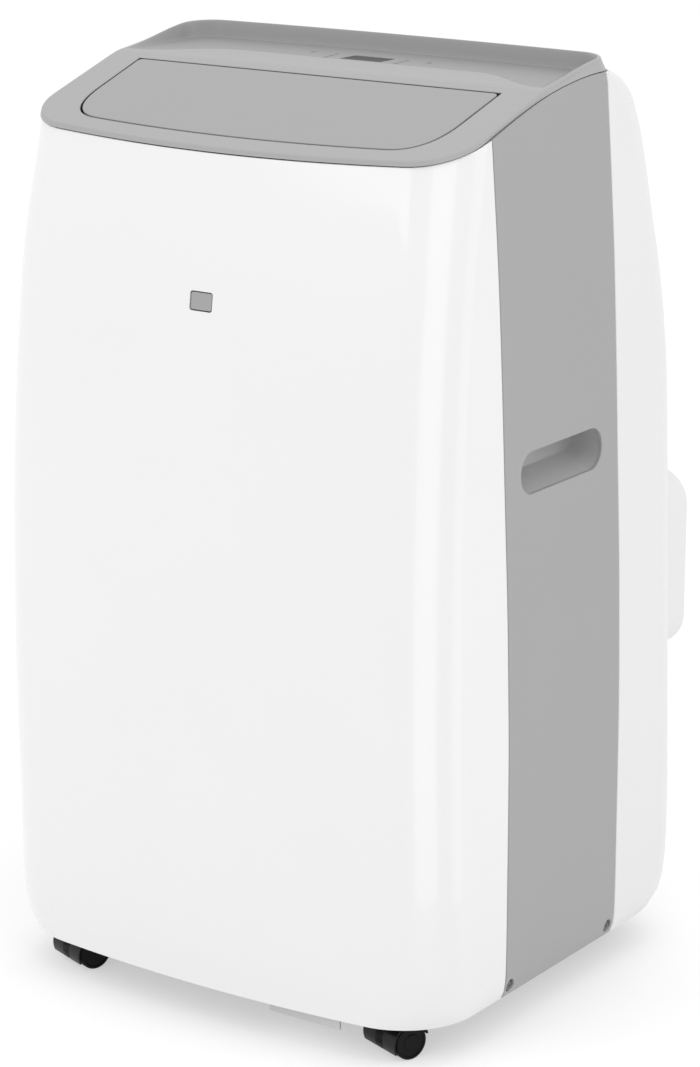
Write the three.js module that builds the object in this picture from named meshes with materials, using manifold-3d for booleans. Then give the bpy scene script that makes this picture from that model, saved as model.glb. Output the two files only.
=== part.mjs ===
// A portable air conditioner on four castors, in millimetres: +Z up, the front faces -Y,
// the floor is z = 0 and x = 0 is the plane of symmetry. Left and right are as seen from the front.
// Heights below are measured in the cabinet's own frame, which the castors hold FLOOR_DROP above the floor.
import * as THREE from "three";
import { mergeVertices } from "three/addons/utils/BufferGeometryUtils.js";
import Module from "manifold-3d";

const wasm = await Module();
wasm.setup();

// ---- Driving dimensions ----

const WALL = 3; // cabinet wall
const SEAM_GAP = 0.6; // open joint between neighbouring panels
const FIT = 0.4; // play round a piece that sits in another
const FLOOR_DROP = 2.5;
const SHELL_BOTTOM = 24.5;
const SHELL_TOP = 690;
const TOTAL_HEIGHT = 700;
const FRONT_CROWN = 1200; // radius of the slightly bulging front
const REAR_CROWN = 2500;

// The cabinet's side view and corners, each value against height.
const HALF_WIDTH = profile([[SHELL_BOTTOM, 194.5], [32, 197.4], [45, 198.7], [70, 199], [150, 199], [300, 198],
  [450, 196.3], [550, 194.6], [640, 191.5], [690, 189.5]]);
const FRONT_Y = profile([[SHELL_BOTTOM, -202], [60, -204.5], [130, -206], [250, -208.5], [350, -207.3],
  [450, -201.8], [550, -191], [640, -173.5], [700, -160]]);
const REAR_Y = profile([[SHELL_BOTTOM, 162], [32, 169.5], [45, 173.5], [100, 175.5], [200, 172], [300, 168.5],
  [400, 165], [460, 161.5], [520, 152.5], [580, 137.5], [640, 122], [664, 110], [680, 90], [690, 66]]);
const FRONT_CORNER = profile([[SHELL_BOTTOM, 60], [40, 50], [70, 44], [560, 44], [640, 48], [700, 48]]);
const REAR_CORNER = profile([[SHELL_BOTTOM, 60], [40, 50], [70, 44], [650, 44], [690, 30]]);
const LEVELS = [SHELL_BOTTOM, 28, 34, 45, 60, 150, 260, 370, 460, 530, 590, 640, 664, 680, 690];

// The grey side strip leans forward towards the top.
const STRIP_FRONT = -94.3;
const STRIP_REAR = 60.7;
const STRIP_LEAN = profile([[SHELL_BOTTOM, 0], [200, 0], [300, -2], [400, -6.5], [500, -11], [600, -16],
  [690, -21]]);

// The seam under the top cover and the cover's rim, each height against y.
const SEAM_Z = profile([[-215, 629], [-173.5, 641.8], [-117, 659.5], [-73, 673.2], [-46, 680.3], [-19, 685.6],
  [9, 689], [30, 690], [50, 689.6], [70, 688.4], [215, 688.4]]);
const SEAM_STATIONS = [-215, -173.5, -117, -73, -46, -19, 0, 15, 30, 50, 70, 215];
const RIM_Z = profile([[-46, 685.6], [-19, 690], [3, 694.3], [20, 697.3], [38, 699.3], [58, 700], [80, 700]]);
const RIM_STATIONS = [-46, -32, -19, -6, 8, 20, 32, 45, 58, 80];
const COVER = { half: 189.5, front: -173.2, rear: 64.5, frontCorner: 44, rearCorner: 30 };
const COVER_PAN = { half: 185.6, front: -60, rear: 60, frontCorner: 5, rearCorner: 27 };
const DISH = { half: 183, front: -60, rear: 57.5, frontCorner: 5, rearCorner: 25 };
const CABINET_MOUTH = { half: 186, front: -165, rear: 60.5, frontCorner: 38, rearCorner: 27.4 };
const DISH_FLOOR = 687;
const DISH_BOARD = 3; // thickness of the dish floor

// The air outlet lies in a plane that rises to the rear. Its own axes are x, v up the slope, w out of it.
const OUTLET_TILT = THREE.MathUtils.degToRad(17.5);
const OUTLET_ORIGIN = { y: -55, z: 682.8 };
const FLAP_GAP = 1.5;
const FLAP_THICK = 3;
const FLAP_PIVOT = { v: -20, w: -8 };
const DUCT = { half: 164, front: -106, rear: 5, top: -6.3, bottom: -70, wall: 2.5 };
const VANE_COUNT = 6;
const VANE_PITCH = 52;
const VANE = { v: -55, halfLength: 37, bottom: -60, top: -32, thick: 2, crank: 30 };

const GRIP = { y: -24.5, z: 417.5, length: 111, height: 31, depth: 36, wall: 2.5 };
const SCREW_Z = 33;
const SCREW_YS = [-87, 52.6];
const RECEIVER = { z: 539.5, width: 19, height: 13, corner: 2.5 };
const DISPLAY = { half: 18, front: 3, rear: 24 };

const PLINTH = { half: 172, bottom: 213, top: 357, corner: 27, back: 208.5 };
const PORT = { z: 285, radius: 66, collarOuter: 65.6, collarInner: 60, panelHole: 67 };
const EXHAUST_DUCT = { outer: 59.5, inner: 57 };
const UPPER_WINDOW = { x0: -150, x1: 150, z0: 400, z1: 606, corner: 8 };
const LOWER_WINDOW = { x0: -150, x1: 105, z0: 62, z1: 196, corner: 8 };
const SLOT = { height: 8, pitch: 14, margin: 12 };
const DRAINS = { lower: { x: 60, z: 46 }, upper: { x: 135, z: 372 } };
const GLAND = { x: 132, z: 78 };

const CASTOR = { frontX: 146, rearX: 112, frontY: -172, rearY: 128, trail: 8, turn: THREE.MathUtils.degToRad(-20) };
const WHEEL = { radius: 13.2, halfWidth: 19.5, gap: 5.2, axle: 3 };
const GUARD = { inner: 14.2, outer: 15.6, top: 50, front: 195, rear: 15 }; // radii, and angles round the axle
const PAN_FLOOR = 28;
const TRAY_FLOOR = 348;

const UPPER_FAN = { z: 455, back: -131, front: -36, wheel: 78 };
const LOWER_FAN = { z: 150, back: -10, front: 70, wheel: 72 };

// ---- Plain geometry ----

// A smooth curve through a few stations: cubic pieces with averaged slopes.
function profile(stations) {
  const slope = (a, b) => (b[1] - a[1]) / (b[0] - a[0]);
  const last = stations.length - 1;
  const tangents = stations.map((s, i) => {
    const before = i > 0 ? slope(stations[i - 1], s) : slope(s, stations[1]);
    const after = i < last ? slope(s, stations[i + 1]) : before;
    return before * after <= 0 ? 0 : (2 * before * after) / (before + after);
  });
  return (at) => {
    if (at <= stations[0][0]) return stations[0][1];
    if (at >= stations[last][0]) return stations[last][1];
    const i = stations.findIndex((s) => s[0] > at) - 1;
    const width = stations[i + 1][0] - stations[i][0];
    const t = (at - stations[i][0]) / width;
    const bend = (a, b) => a * (t * t * t - 2 * t * t + t) + b * (t * t * t - t * t);
    const blend = stations[i][1] + (stations[i + 1][1] - stations[i][1]) * t * t * (3 - 2 * t);
    return blend + width * bend(tangents[i], tangents[i + 1]);
  };
}

function solid(geometry) {
  const plain = geometry.index ? geometry.toNonIndexed() : geometry.clone();
  plain.deleteAttribute("normal");
  plain.deleteAttribute("uv");
  const merged = mergeVertices(plain, 1e-3);
  return new wasm.Manifold(
    new wasm.Mesh({
      numProp: 3,
      vertProperties: merged.attributes.position.array,
      triVerts: new Uint32Array(merged.index.array),
    }),
  );
}

function joined(...pieces) {
  return pieces.reduce((sum, piece) => sum.add(piece));
}

function geometryOf(body) {
  const mesh = body.getMesh();
  const positions = new Float32Array(mesh.numVert * 3);
  for (let i = 0; i < mesh.numVert; i += 1) {
    const start = i * mesh.numProp;
    positions.set(mesh.vertProperties.subarray(start, start + 3), i * 3);
  }
  const geometry = new THREE.BufferGeometry();
  geometry.setAttribute("position", new THREE.BufferAttribute(positions, 3));
  geometry.setIndex(new THREE.BufferAttribute(new Uint32Array(mesh.triVerts), 1));
  return geometry;
}

function box(x0, x1, y0, y1, z0, z1) {
  const block = new THREE.BoxGeometry(x1 - x0, y1 - y0, z1 - z0);
  return solid(block.translate((x0 + x1) / 2, (y0 + y1) / 2, (z0 + z1) / 2));
}

// A lathe turned about the Y axis from [radius, y] pairs that climb in y.
function turned(pairs, sides) {
  return new THREE.LatheGeometry(pairs.map(([r, y]) => new THREE.Vector2(r, y)), sides);
}

// A round bar along "x", "y" or "z" from one end to the other, through the point given by its other two values.
function bar(axis, radius, from, to, a, b, sides = 20) {
  const rod = new THREE.CylinderGeometry(radius, radius, to - from, sides);
  const middle = (from + to) / 2;
  if (axis === "x") return solid(rod.rotateZ(-Math.PI / 2).translate(middle, a, b));
  if (axis === "y") return solid(rod.translate(a, middle, b));
  return solid(rod.rotateX(Math.PI / 2).translate(a, b, middle));
}

function shapeOf(points) {
  if (points instanceof THREE.Shape) return points;
  return new THREE.Shape(points.map(([u, v]) => new THREE.Vector2(u, v)));
}

function extruded(points, depth, curveSegments = 2) {
  return new THREE.ExtrudeGeometry(shapeOf(points), { depth, bevelEnabled: false, curveSegments });
}

// Prisms over an outline in the plane named, between two places on the third axis.
function prismXY(points, z0, z1) {
  return solid(extruded(points, z1 - z0).translate(0, 0, z0));
}

function prismYZ(points, x0, x1) {
  const turn = new THREE.Matrix4().set(0, 0, 1, x0, 1, 0, 0, 0, 0, 1, 0, 0, 0, 0, 0, 1);
  return solid(extruded(points, x1 - x0).applyMatrix4(turn));
}

function prismXZ(points, y0, y1, curveSegments) {
  const turn = new THREE.Matrix4().set(1, 0, 0, 0, 0, 0, -1, y1, 0, 1, 0, 0, 0, 0, 0, 1);
  return solid(extruded(points, y1 - y0, curveSegments).applyMatrix4(turn));
}

function roundedRectangle(x0, x1, y0, y1, radius) {
  const shape = new THREE.Shape();
  shape.moveTo(x0 + radius, y0);
  shape.lineTo(x1 - radius, y0);
  shape.absarc(x1 - radius, y0 + radius, radius, -Math.PI / 2, 0);
  shape.absarc(x1 - radius, y1 - radius, radius, 0, Math.PI / 2);
  shape.absarc(x0 + radius, y1 - radius, radius, Math.PI / 2, Math.PI);
  shape.absarc(x0 + radius, y0 + radius, radius, Math.PI, 1.5 * Math.PI);
  return shape;
}

function window(opening, grow) {
  const { x0, x1, z0, z1, corner } = opening;
  return roundedRectangle(x0 - grow, x1 + grow, z0 - grow, z1 + grow, corner + grow);
}

// ---- The cabinet's outer form ----

// One end of a plan outline from left to right, as [x, distance behind the end's middle].
function endCurve(half, corner, crown, crownSteps, cornerSteps = 4) {
  const reach = half - corner;
  const meet = Math.asin(reach / (crown - corner));
  const centre = crown - Math.sqrt((crown - corner) ** 2 - reach ** 2);
  const points = [];
  for (let i = 0; i <= cornerSteps; i += 1) {
    const t = (i / cornerSteps) * (Math.PI / 2 - meet);
    points.push([-reach - corner * Math.cos(t), centre - corner * Math.sin(t)]);
  }
  for (let i = 1; i < crownSteps; i += 1) {
    const u = meet * (-1 + (2 * i) / crownSteps);
    points.push([crown * Math.sin(u), crown - crown * Math.cos(u)]);
  }
  for (let i = cornerSteps; i >= 0; i -= 1) points.push([-points[i][0], points[i][1]]);
  return points;
}

function planOutline({ half, front, rear, frontCorner, rearCorner }, inset = 0) {
  const ahead = endCurve(half - inset, frontCorner - inset, FRONT_CROWN - inset, 4);
  const behind = endCurve(half - inset, rearCorner - inset, REAR_CROWN - inset, 2);
  return [
    ...ahead.map(([x, d]) => [x, front + inset + d]),
    ...behind.map(([x, d]) => [-x, rear - inset - d]),
  ];
}

function cabinetOutline(z, inset) {
  const size = {
    half: HALF_WIDTH(z),
    front: FRONT_Y(z),
    rear: REAR_Y(z),
    frontCorner: FRONT_CORNER(z),
    rearCorner: REAR_CORNER(z),
  };
  return planOutline(size, inset);
}

// A closed body through plan outlines at rising heights. Where it is inset, it is read a little higher
// near the top, so that the wall keeps its thickness over the sloping shoulder.
function loft(levels, inset) {
  const lift = (z) => inset * THREE.MathUtils.clamp((z - 560) / 60, 0, 1);
  const rings = levels.map((z) => cabinetOutline(Math.min(z + lift(z), SHELL_TOP), inset));
  const count = rings[0].length;
  const positions = [];
  rings.forEach((ring, k) => ring.forEach(([x, y]) => positions.push(x, y, levels[k])));
  positions.push(0, 0, levels[0], 0, 0, levels[levels.length - 1]);
  const bottom = rings.length * count;
  const top = (rings.length - 1) * count;
  const faces = [];
  for (let i = 0; i < count; i += 1) {
    const next = (i + 1) % count;
    for (let k = 0; k < rings.length - 1; k += 1) {
      const [a, b, c, d] = [k * count + i, k * count + next, (k + 1) * count + next, (k + 1) * count + i];
      faces.push(a, b, c, a, c, d);
    }
    faces.push(bottom, next, i, bottom + 1, top + i, top + next);
  }
  const geometry = new THREE.BufferGeometry();
  geometry.setAttribute("position", new THREE.BufferAttribute(new Float32Array(positions), 3));
  geometry.setIndex(faces);
  return solid(geometry);
}

function levelsBetween(low, high) {
  return [low, ...LEVELS.filter((z) => z > low + 2 && z < high - 2), high];
}

function plinthOutline(inset) {
  const { half, bottom, top, corner } = PLINTH;
  return roundedRectangle(-half + inset, half - inset, bottom + inset, top - inset, corner - inset);
}

const cabinet = loft(LEVELS, 0);
const cabinetInside = joined(
  loft(levelsBetween(10, SHELL_TOP - WALL), WALL),
  prismXY(planOutline(CABINET_MOUTH), 645, TOTAL_HEIGHT),
);
const plinth = prismXZ(plinthOutline(0), 120, PLINTH.back);
const plinthInside = prismXZ(plinthOutline(WALL), 110, PLINTH.back - WALL);
const shell = cabinet.subtract(cabinetInside);

// ---- Regions that divide the shell into panels ----

const STRIP_LEVELS = [10, 200, 300, 400, 500, 600, 700];
const FAR = 230;

function stripEdge(base, offset) {
  return STRIP_LEVELS.map((z) => [base + STRIP_LEAN(z) + offset, z]);
}

const belowSeam = prismYZ(
  [...SEAM_STATIONS.map((y) => [y, SEAM_Z(y) - SEAM_GAP / 2]).reverse(), [-FAR, 0], [FAR, 0]],
  -FAR,
  FAR,
);
const frontRegion = prismYZ([[-FAR, 10], ...stripEdge(STRIP_FRONT, -SEAM_GAP / 2), [-FAR, 700]], -FAR, FAR);
const rearOutline = [...stripEdge(STRIP_REAR, SEAM_GAP / 2), [FAR, 700], [FAR, 10]];
const rearRegion = prismYZ(rearOutline.reverse(), -FAR, FAR);
const stripRegion = prismYZ(
  [...stripEdge(STRIP_FRONT, SEAM_GAP / 2).reverse(), ...stripEdge(STRIP_REAR, -SEAM_GAP / 2)],
  100,
  FAR,
);

function mirrored(body) {
  return body.mirror([1, 0, 0]);
}

// ---- Front, sides and rear ----

function receiverOutline(grow) {
  const halfWidth = RECEIVER.width / 2 + grow;
  const halfHeight = RECEIVER.height / 2 + grow;
  const { z, corner } = RECEIVER;
  return roundedRectangle(-halfWidth, halfWidth, z - halfHeight, z + halfHeight, corner);
}

function frontPanel() {
  const opening = prismXZ(receiverOutline(FIT), -220, -160);
  return shell.intersect(frontRegion).intersect(belowSeam).subtract(opening);
}

function receiverWindow() {
  const skin = loft(levelsBetween(500, 590), 0.3).subtract(loft(levelsBetween(500, 590), 4));
  return skin.intersect(prismXZ(receiverOutline(0), -220, -160));
}

function gripOutline(grow) {
  const halfLength = GRIP.length / 2 + grow;
  const halfHeight = GRIP.height / 2 + grow;
  const { y, z } = GRIP;
  return roundedRectangle(y - halfLength, y + halfLength, z - halfHeight, z + halfHeight, halfHeight - 0.5);
}

function sidePanel() {
  const half = HALF_WIDTH(SCREW_Z);
  const screwHoles = SCREW_YS.flatMap((y) => [
    bar("x", 2.2, half - 10, half + 5, y, SCREW_Z, 12),
    bar("x", 4.6, half - 1.6, half + 5, y, SCREW_Z, 16),
  ]);
  return screwHoles.reduce(
    (panel, hole) => panel.subtract(hole),
    shell.intersect(stripRegion).intersect(belowSeam).subtract(prismYZ(gripOutline(0), 150, FAR)),
  );
}

function gripPocket() {
  const mouth = HALF_WIDTH(GRIP.z) - WALL - 0.5;
  const floor = mouth - GRIP.depth;
  const outer = prismYZ(gripOutline(GRIP.wall), floor - GRIP.wall, mouth);
  const slope = prismYZ(gripOutline(-0.2), floor, mouth + 10);
  return outer.subtract(slope);
}

function sideScrew() {
  return joined(bar("x", 4, -1.5, -0.3, 0, 0, 12), bar("x", 1.8, -9, -1.4, 0, 0, 8));
}

function roundHole(radius, { x, z }) {
  return bar("y", radius, 120, 230, x, z, 16);
}

// Behind the raised block the panel has a square clearance hole for the exhaust duct.
function rearPanel() {
  const { z, panelHole } = PORT;
  return shell
    .intersect(rearRegion)
    .intersect(belowSeam)
    .subtract(prismXZ(window(UPPER_WINDOW, 1), 60, FAR))
    .subtract(prismXZ(window(LOWER_WINDOW, 1), 100, FAR))
    .subtract(box(-panelHole, panelHole, 150, 230, z - panelHole, z + panelHole))
    .subtract(roundHole(9, DRAINS.lower))
    .subtract(roundHole(9, DRAINS.upper))
    .subtract(roundHole(8.4, GLAND));
}

// The raised block behind the rear panel that carries the exhaust port.
function exhaustPlinth() {
  return plinth
    .subtract(plinthInside)
    .subtract(loft(LEVELS, -FIT))
    .subtract(bar("y", PORT.radius, 190, 230, 0, PORT.z, 32));
}

function filterGrille(opening) {
  const { x0, x1, z0, z1 } = opening;
  const frame = shell.intersect(prismXZ(window(opening, 0), 60, FAR));
  const count = Math.floor((z1 - z0 - 2 * SLOT.margin + SLOT.pitch - SLOT.height) / SLOT.pitch);
  const start = (z0 + z1) / 2 - ((count - 1) * SLOT.pitch + SLOT.height) / 2;
  let grille = frame;
  for (let i = 0; i < count; i += 1) {
    const z = start + i * SLOT.pitch;
    grille = grille.subtract(box(x0 + SLOT.margin, -3, 60, FAR, z, z + SLOT.height));
    grille = grille.subtract(box(3, x1 - SLOT.margin, 60, FAR, z, z + SLOT.height));
  }
  return grille;
}

function filterNet(opening) {
  const span = levelsBetween(opening.z0 - 10, opening.z1 + 10);
  const longer = [span[0] - 5, ...span, span[span.length - 1] + 5];
  const sheet = loft(span, WALL + 2).subtract(loft(longer, WALL + 3.4));
  return sheet.intersect(prismXZ(window(opening, -4), 60, FAR));
}

function drainPlug() {
  const stem = bar("y", 6, -11, -3, 0, 0, 16);
  return joined(stem, bar("y", 8.4, -3.1, 2.6, 0, 0, 16), box(-7, 7, 2.5, 6, -1.5, 1.5));
}

function cordGland() {
  return solid(turned([[3.6, -8], [8, -8], [8, 0.2], [11, 0.2], [10, 3.4], [5.5, 5], [3.6, 5], [3.6, -8]], 16));
}

function exhaustCollar() {
  const { collarInner, collarOuter } = PORT;
  const flange = collarOuter + 2.6;
  return solid(
    turned(
      [
        [collarInner, 178], [collarOuter, 178], [collarOuter, 196], [flange, 196], [flange, 205],
        [collarOuter, 205], [collarOuter, 208.2], [collarInner, 208.2], [collarInner, 178],
      ],
      32,
    ),
  );
}

// ---- Top cover, outlet flap and duct ----

function outletPlaneZ(y) {
  return OUTLET_ORIGIN.z + (y - OUTLET_ORIGIN.y) * Math.tan(OUTLET_TILT);
}

function outletPoint(v, w) {
  const [sin, cos] = [Math.sin(OUTLET_TILT), Math.cos(OUTLET_TILT)];
  return [OUTLET_ORIGIN.y + v * cos - w * sin, OUTLET_ORIGIN.z + v * sin + w * cos];
}

// The flap's outline: straight at the rear, rounded and slightly bowed in front.
function flapOutline(inset) {
  const rear = { x: 160.4 - inset, v: 0.8 - inset };
  const side = { x: 159.3 - inset, v: -52 };
  const nose = { x: 126, v: -100 + inset };
  const corner = { x: 158.5 - inset, v: -97 + inset };
  const shape = new THREE.Shape();
  shape.moveTo(-rear.x, rear.v);
  shape.lineTo(-side.x, side.v);
  shape.quadraticCurveTo(-corner.x, corner.v, -nose.x, nose.v);
  shape.quadraticCurveTo(0, nose.v - 12.4, nose.x, nose.v);
  shape.quadraticCurveTo(corner.x, corner.v, side.x, side.v);
  shape.lineTo(rear.x, rear.v);
  return shape;
}

function topCover() {
  const plan = prismXY(planOutline(COVER), 600, TOTAL_HEIGHT + 5);
  const band = prismYZ(
    [
      ...SEAM_STATIONS.map((y) => [y, SEAM_Z(y) + SEAM_GAP / 2]),
      [215, TOTAL_HEIGHT],
      ...RIM_STATIONS.map((y) => [y, RIM_Z(y)]).reverse(),
      [-215, outletPlaneZ(-215)],
    ],
    -FAR,
    FAR,
  );
  const underside = DISH_FLOOR - DISH_BOARD;
  const underDish = prismYZ(
    [[-52, 681], [-42, underside], [90, underside], [90, 695], [0, 692], [-40, 686]],
    -FAR,
    FAR,
  ).intersect(prismXY(planOutline(COVER_PAN), 600, TOTAL_HEIGHT));
  const dish = prismYZ([[-46, 685.8], [-42, DISH_FLOOR], [90, DISH_FLOOR], [90, 720], [-46, 720]], -FAR, FAR)
    .intersect(prismXY(planOutline(DISH), 600, 720));
  const tilt = new THREE.Matrix4().makeRotationX(OUTLET_TILT).setPosition(0, OUTLET_ORIGIN.y, OUTLET_ORIGIN.z);
  const mouth = solid(extruded(flapOutline(0), 24, 6).translate(0, 0, -14).applyMatrix4(tilt));
  const { half, front, rear } = DISPLAY;
  const display = box(-half - FIT, half + FIT, front - FIT, rear + FIT, 670, 692);
  return plan.intersect(band).add(underDish).subtract(dish).subtract(mouth).subtract(display);
}

function outletFlap() {
  const { v, w } = FLAP_PIVOT;
  const stub = bar("x", 2.2, 149.8, DUCT.half + 0.6, v, w, 12);
  const lug = joined(box(146, 150, v - 6, v + 6, w - 4, -FLAP_THICK + 0.2), stub);
  const plate = solid(extruded(flapOutline(FLAP_GAP), FLAP_THICK, 6).translate(0, 0, -FLAP_THICK));
  return plate.add(lug).add(mirrored(lug));
}

function outletDuct() {
  const { half, front, rear, top, bottom, wall } = DUCT;
  const { v, w } = FLAP_PIVOT;
  const ear = box(half - wall, half, v - 7, v + 7, top - 1, top + 2);
  const bearing = bar("x", 2.6, half - wall - 1, half + 1, v, w, 12);
  const rail = box(-half + 1, half - 1, VANE.v - 5, VANE.v + 5, bottom + 2, VANE.bottom - 1);
  let duct = box(-half, half, front, rear, bottom, top)
    .subtract(box(-half + wall, half - wall, front + wall, rear - wall, bottom - 1, top + 1))
    .add(ear)
    .add(mirrored(ear))
    .subtract(bearing)
    .subtract(mirrored(bearing))
    .add(rail);
  vaneXs().forEach((x) => {
    duct = duct.subtract(bar("z", 2.6, bottom, VANE.bottom, x, VANE.v, 12));
  });
  return duct;
}

function vaneXs() {
  return Array.from({ length: VANE_COUNT }, (_, i) => (i - (VANE_COUNT - 1) / 2) * VANE_PITCH);
}

function vane() {
  const { halfLength, thick, top, bottom, crank } = VANE;
  const blade = box(-thick / 2, thick / 2, -halfLength, halfLength, bottom, top);
  const pivot = bar("z", 2.1, bottom - 6, bottom + 8, 0, 0, 12);
  const pin = bar("z", 1.6, top - 4, top + 4, 0, crank, 10);
  return joined(blade, pivot, pin);
}

function vaneLink() {
  const reach = vaneXs()[VANE_COUNT - 1] + 5;
  const y = VANE.v + VANE.crank;
  const strip = box(-reach, reach, y - 4, y + 4, VANE.top + 0.5, VANE.top + 3.5);
  return vaneXs().reduce((link, x) => link.subtract(bar("z", 2, VANE.top, VANE.top + 5, x, y, 10)), strip);
}

function vaneMotor() {
  return joined(bar("z", 11, DUCT.bottom - 14, DUCT.bottom + 1.5, vaneXs()[0], VANE.v, 16));
}

function flapMotor() {
  return box(DUCT.half + 1.6, DUCT.half + 17, -34, -10, -34, -8);
}

// ---- Base pan, tray and castors ----

function basePan() {
  const outer = loft([PAN_FLOOR, 34, 60], WALL + 1);
  const inner = loft([PAN_FLOOR + 3, 34, 60, 70], WALL + 3.5);
  const sockets = castorPlaces().map(([, x, y]) => bar("z", 9, PAN_FLOOR + 1, 44, x, y, 10));
  const bores = castorPlaces().map(([, x, y]) => bar("z", 5.4, PAN_FLOOR - 1, 42, x, y, 12));
  const half = HALF_WIDTH(SCREW_Z);
  const screwHoles = SCREW_YS.flatMap((y) => {
    const hole = bar("x", 2.2, half - 12, half, y, SCREW_Z, 12);
    return [hole, mirrored(hole)];
  });
  const pan = sockets.reduce((sum, socket) => sum.add(socket), outer.subtract(inner));
  const drilled = [...bores, ...screwHoles].reduce((rest, hole) => rest.subtract(hole), pan);
  return drilled.subtract(bar("y", 6.4, 140, 190, DRAINS.lower.x, DRAINS.lower.z, 16));
}

function middleTray() {
  const outer = loft([TRAY_FLOOR, 384], WALL + 0.8);
  const inner = loft([TRAY_FLOOR + 3, 390], WALL + 3.3);
  const pipeHole = bar("z", 8, TRAY_FLOOR - 5, TRAY_FLOOR + 8, -168, 97, 12);
  const drain = bar("y", 6.4, 140, 190, DRAINS.upper.x, DRAINS.upper.z, 16);
  return outer.subtract(inner).subtract(pipeHole).subtract(drain);
}

function castorPlaces() {
  const { frontX, rearX, frontY, rearY } = CASTOR;
  return [
    ["front_left", -frontX, frontY],
    ["front_right", frontX, frontY],
    ["rear_left", -rearX, rearY],
    ["rear_right", rearX, rearY],
  ];
}

// The castor's own origin is on the floor under its stem, and its wheels trail towards +Y.
function aroundAxle(radius, from, to, steps) {
  return Array.from({ length: steps + 1 }, (_, i) => {
    const turn = THREE.MathUtils.degToRad(from + ((to - from) * i) / steps);
    return [CASTOR.trail + radius * Math.cos(turn), WHEEL.radius + radius * Math.sin(turn)];
  });
}

// A guard over the treads, between two angles round the axle.
function guard(from, to) {
  const strip = [...aroundAxle(GUARD.outer, from, to, 5), ...aroundAxle(GUARD.inner, to, from, 5)];
  return prismYZ(strip, -WHEEL.halfWidth, WHEEL.halfWidth);
}

function castorFrame() {
  const { radius, gap, axle } = WHEEL;
  const { trail } = CASTOR;
  const web = gap - 0.6;
  const seat = PAN_FLOOR + FLOOR_DROP - 1;
  const front = aroundAxle(GUARD.outer, 180 - GUARD.top, GUARD.front, 5);
  const below = aroundAxle(radius - 1, GUARD.front + 5, 355 + GUARD.rear - 10, 10);
  const rear = aroundAxle(GUARD.outer, 360 + GUARD.rear, 360 + GUARD.top, 3);
  return joined(
    prismYZ([[front[0][0], seat - 1], ...front, ...below, ...rear, [14, seat - 1]], -web, web),
    guard(180 - GUARD.top, GUARD.front),
    guard(GUARD.rear, GUARD.top),
    bar("z", 15, 2 * radius + 0.8, seat, 0, 0, 20),
    bar("z", 5, seat - 1, seat + 14, 0, 0, 12),
  ).subtract(bar("x", axle + 0.4, -10, 10, trail, radius, 14));
}

function castorWheels() {
  const { radius, halfWidth, gap, axle } = WHEEL;
  const rim = halfWidth - 1.5;
  const oneSide = [[axle, gap], [radius, gap], [radius, rim], [radius - 1.5, halfWidth], [0, halfWidth]];
  const otherSide = oneSide.map(([r, at]) => [r, -at]).reverse();
  return solid(turned([...otherSide, ...oneSide], 16).rotateZ(-Math.PI / 2).translate(0, CASTOR.trail, radius));
}

// ---- Refrigeration, fans and electrics ----

function fanHousing(outline, inner, { back, front, z }, inlet) {
  return prismXZ(outline, back, front, 6)
    .subtract(prismXZ(inner, back + 2.5, front - 2.5, 6))
    .subtract(bar("y", inlet, front - 5, front + 5, 0, z, 24))
    .subtract(bar("y", 7, back - 5, back + 5, 0, z, 12));
}

// The outline of a scroll: round below and flaring or straight up to its outlet.
function scroll(radius, z, spread, shoulder, top) {
  const start = Math.asin((shoulder - z) / radius / 2.4);
  const shape = new THREE.Shape();
  shape.absarc(0, z, radius, Math.PI - start, 2 * Math.PI + start);
  shape.lineTo(spread, shoulder);
  shape.lineTo(spread, top);
  shape.lineTo(-spread, top);
  shape.lineTo(-spread, shoulder);
  return shape;
}

function upperFanHousing() {
  const { z } = UPPER_FAN;
  const housing = fanHousing(scroll(100, z, 160, 575, 660), scroll(97.5, z, 157.5, 575, 680), UPPER_FAN, 62);
  const [low, high] = [outletPoint(-200, DUCT.bottom - 0.8), outletPoint(120, DUCT.bottom - 0.8)];
  return housing.subtract(prismYZ([low, high, [high[0], 760], [low[0], 760]], -FAR, FAR)).subtract(
    bar("z", 13, 560, 640, vaneXs()[0], outletPoint(VANE.v, DUCT.bottom)[0], 16),
  );
}

function lowerFanHousing() {
  const { z, front } = LOWER_FAN;
  const housing = fanHousing(scroll(88, z, 88, z + 2, 345), scroll(85.5, z, 85.5, z + 2, 342.5), LOWER_FAN, 54);
  return housing.subtract(bar("y", EXHAUST_DUCT.inner, front - 10, front + 5, 0, PORT.z, 32));
}

function exhaustDuct() {
  const tube = bar("y", EXHAUST_DUCT.outer, LOWER_FAN.front + 0.3, 172, 0, PORT.z, 32);
  return tube.subtract(bar("y", EXHAUST_DUCT.inner, 60, 180, 0, PORT.z, 32));
}

function blowerWheel(radius, depth, blades) {
  const inner = radius - 15;
  const disc = [[0, -22], [4, -22], [4, 0], [radius, 0], [radius, 2.5], [14, 2.5], [10, 14], [0, 14]];
  const ring = [[inner, depth - 3], [radius, depth - 3], [radius, depth], [inner, depth], [inner, depth - 3]];
  let wheel = solid(turned(disc, 24)).add(solid(turned(ring, 24)));
  for (let i = 0; i < blades; i += 1) {
    const blade = new THREE.BoxGeometry(14, depth - 3, 1.8).rotateY(0.5).translate(radius - 8, depth / 2, 0);
    wheel = wheel.add(solid(blade.rotateY((i / blades) * 2 * Math.PI)));
  }
  return wheel;
}

// A motor behind its fan: the drum's profile runs from the shaft's bore round its back.
function fanMotor(radius, length) {
  const drum = [[4.5, 0], [radius, 0], [radius, -length + 5], [radius - 6, -length], [0, -length], [0, -26],
    [4.5, -26], [4.5, 0]];
  return solid(turned(drum.reverse(), 20));
}

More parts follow.
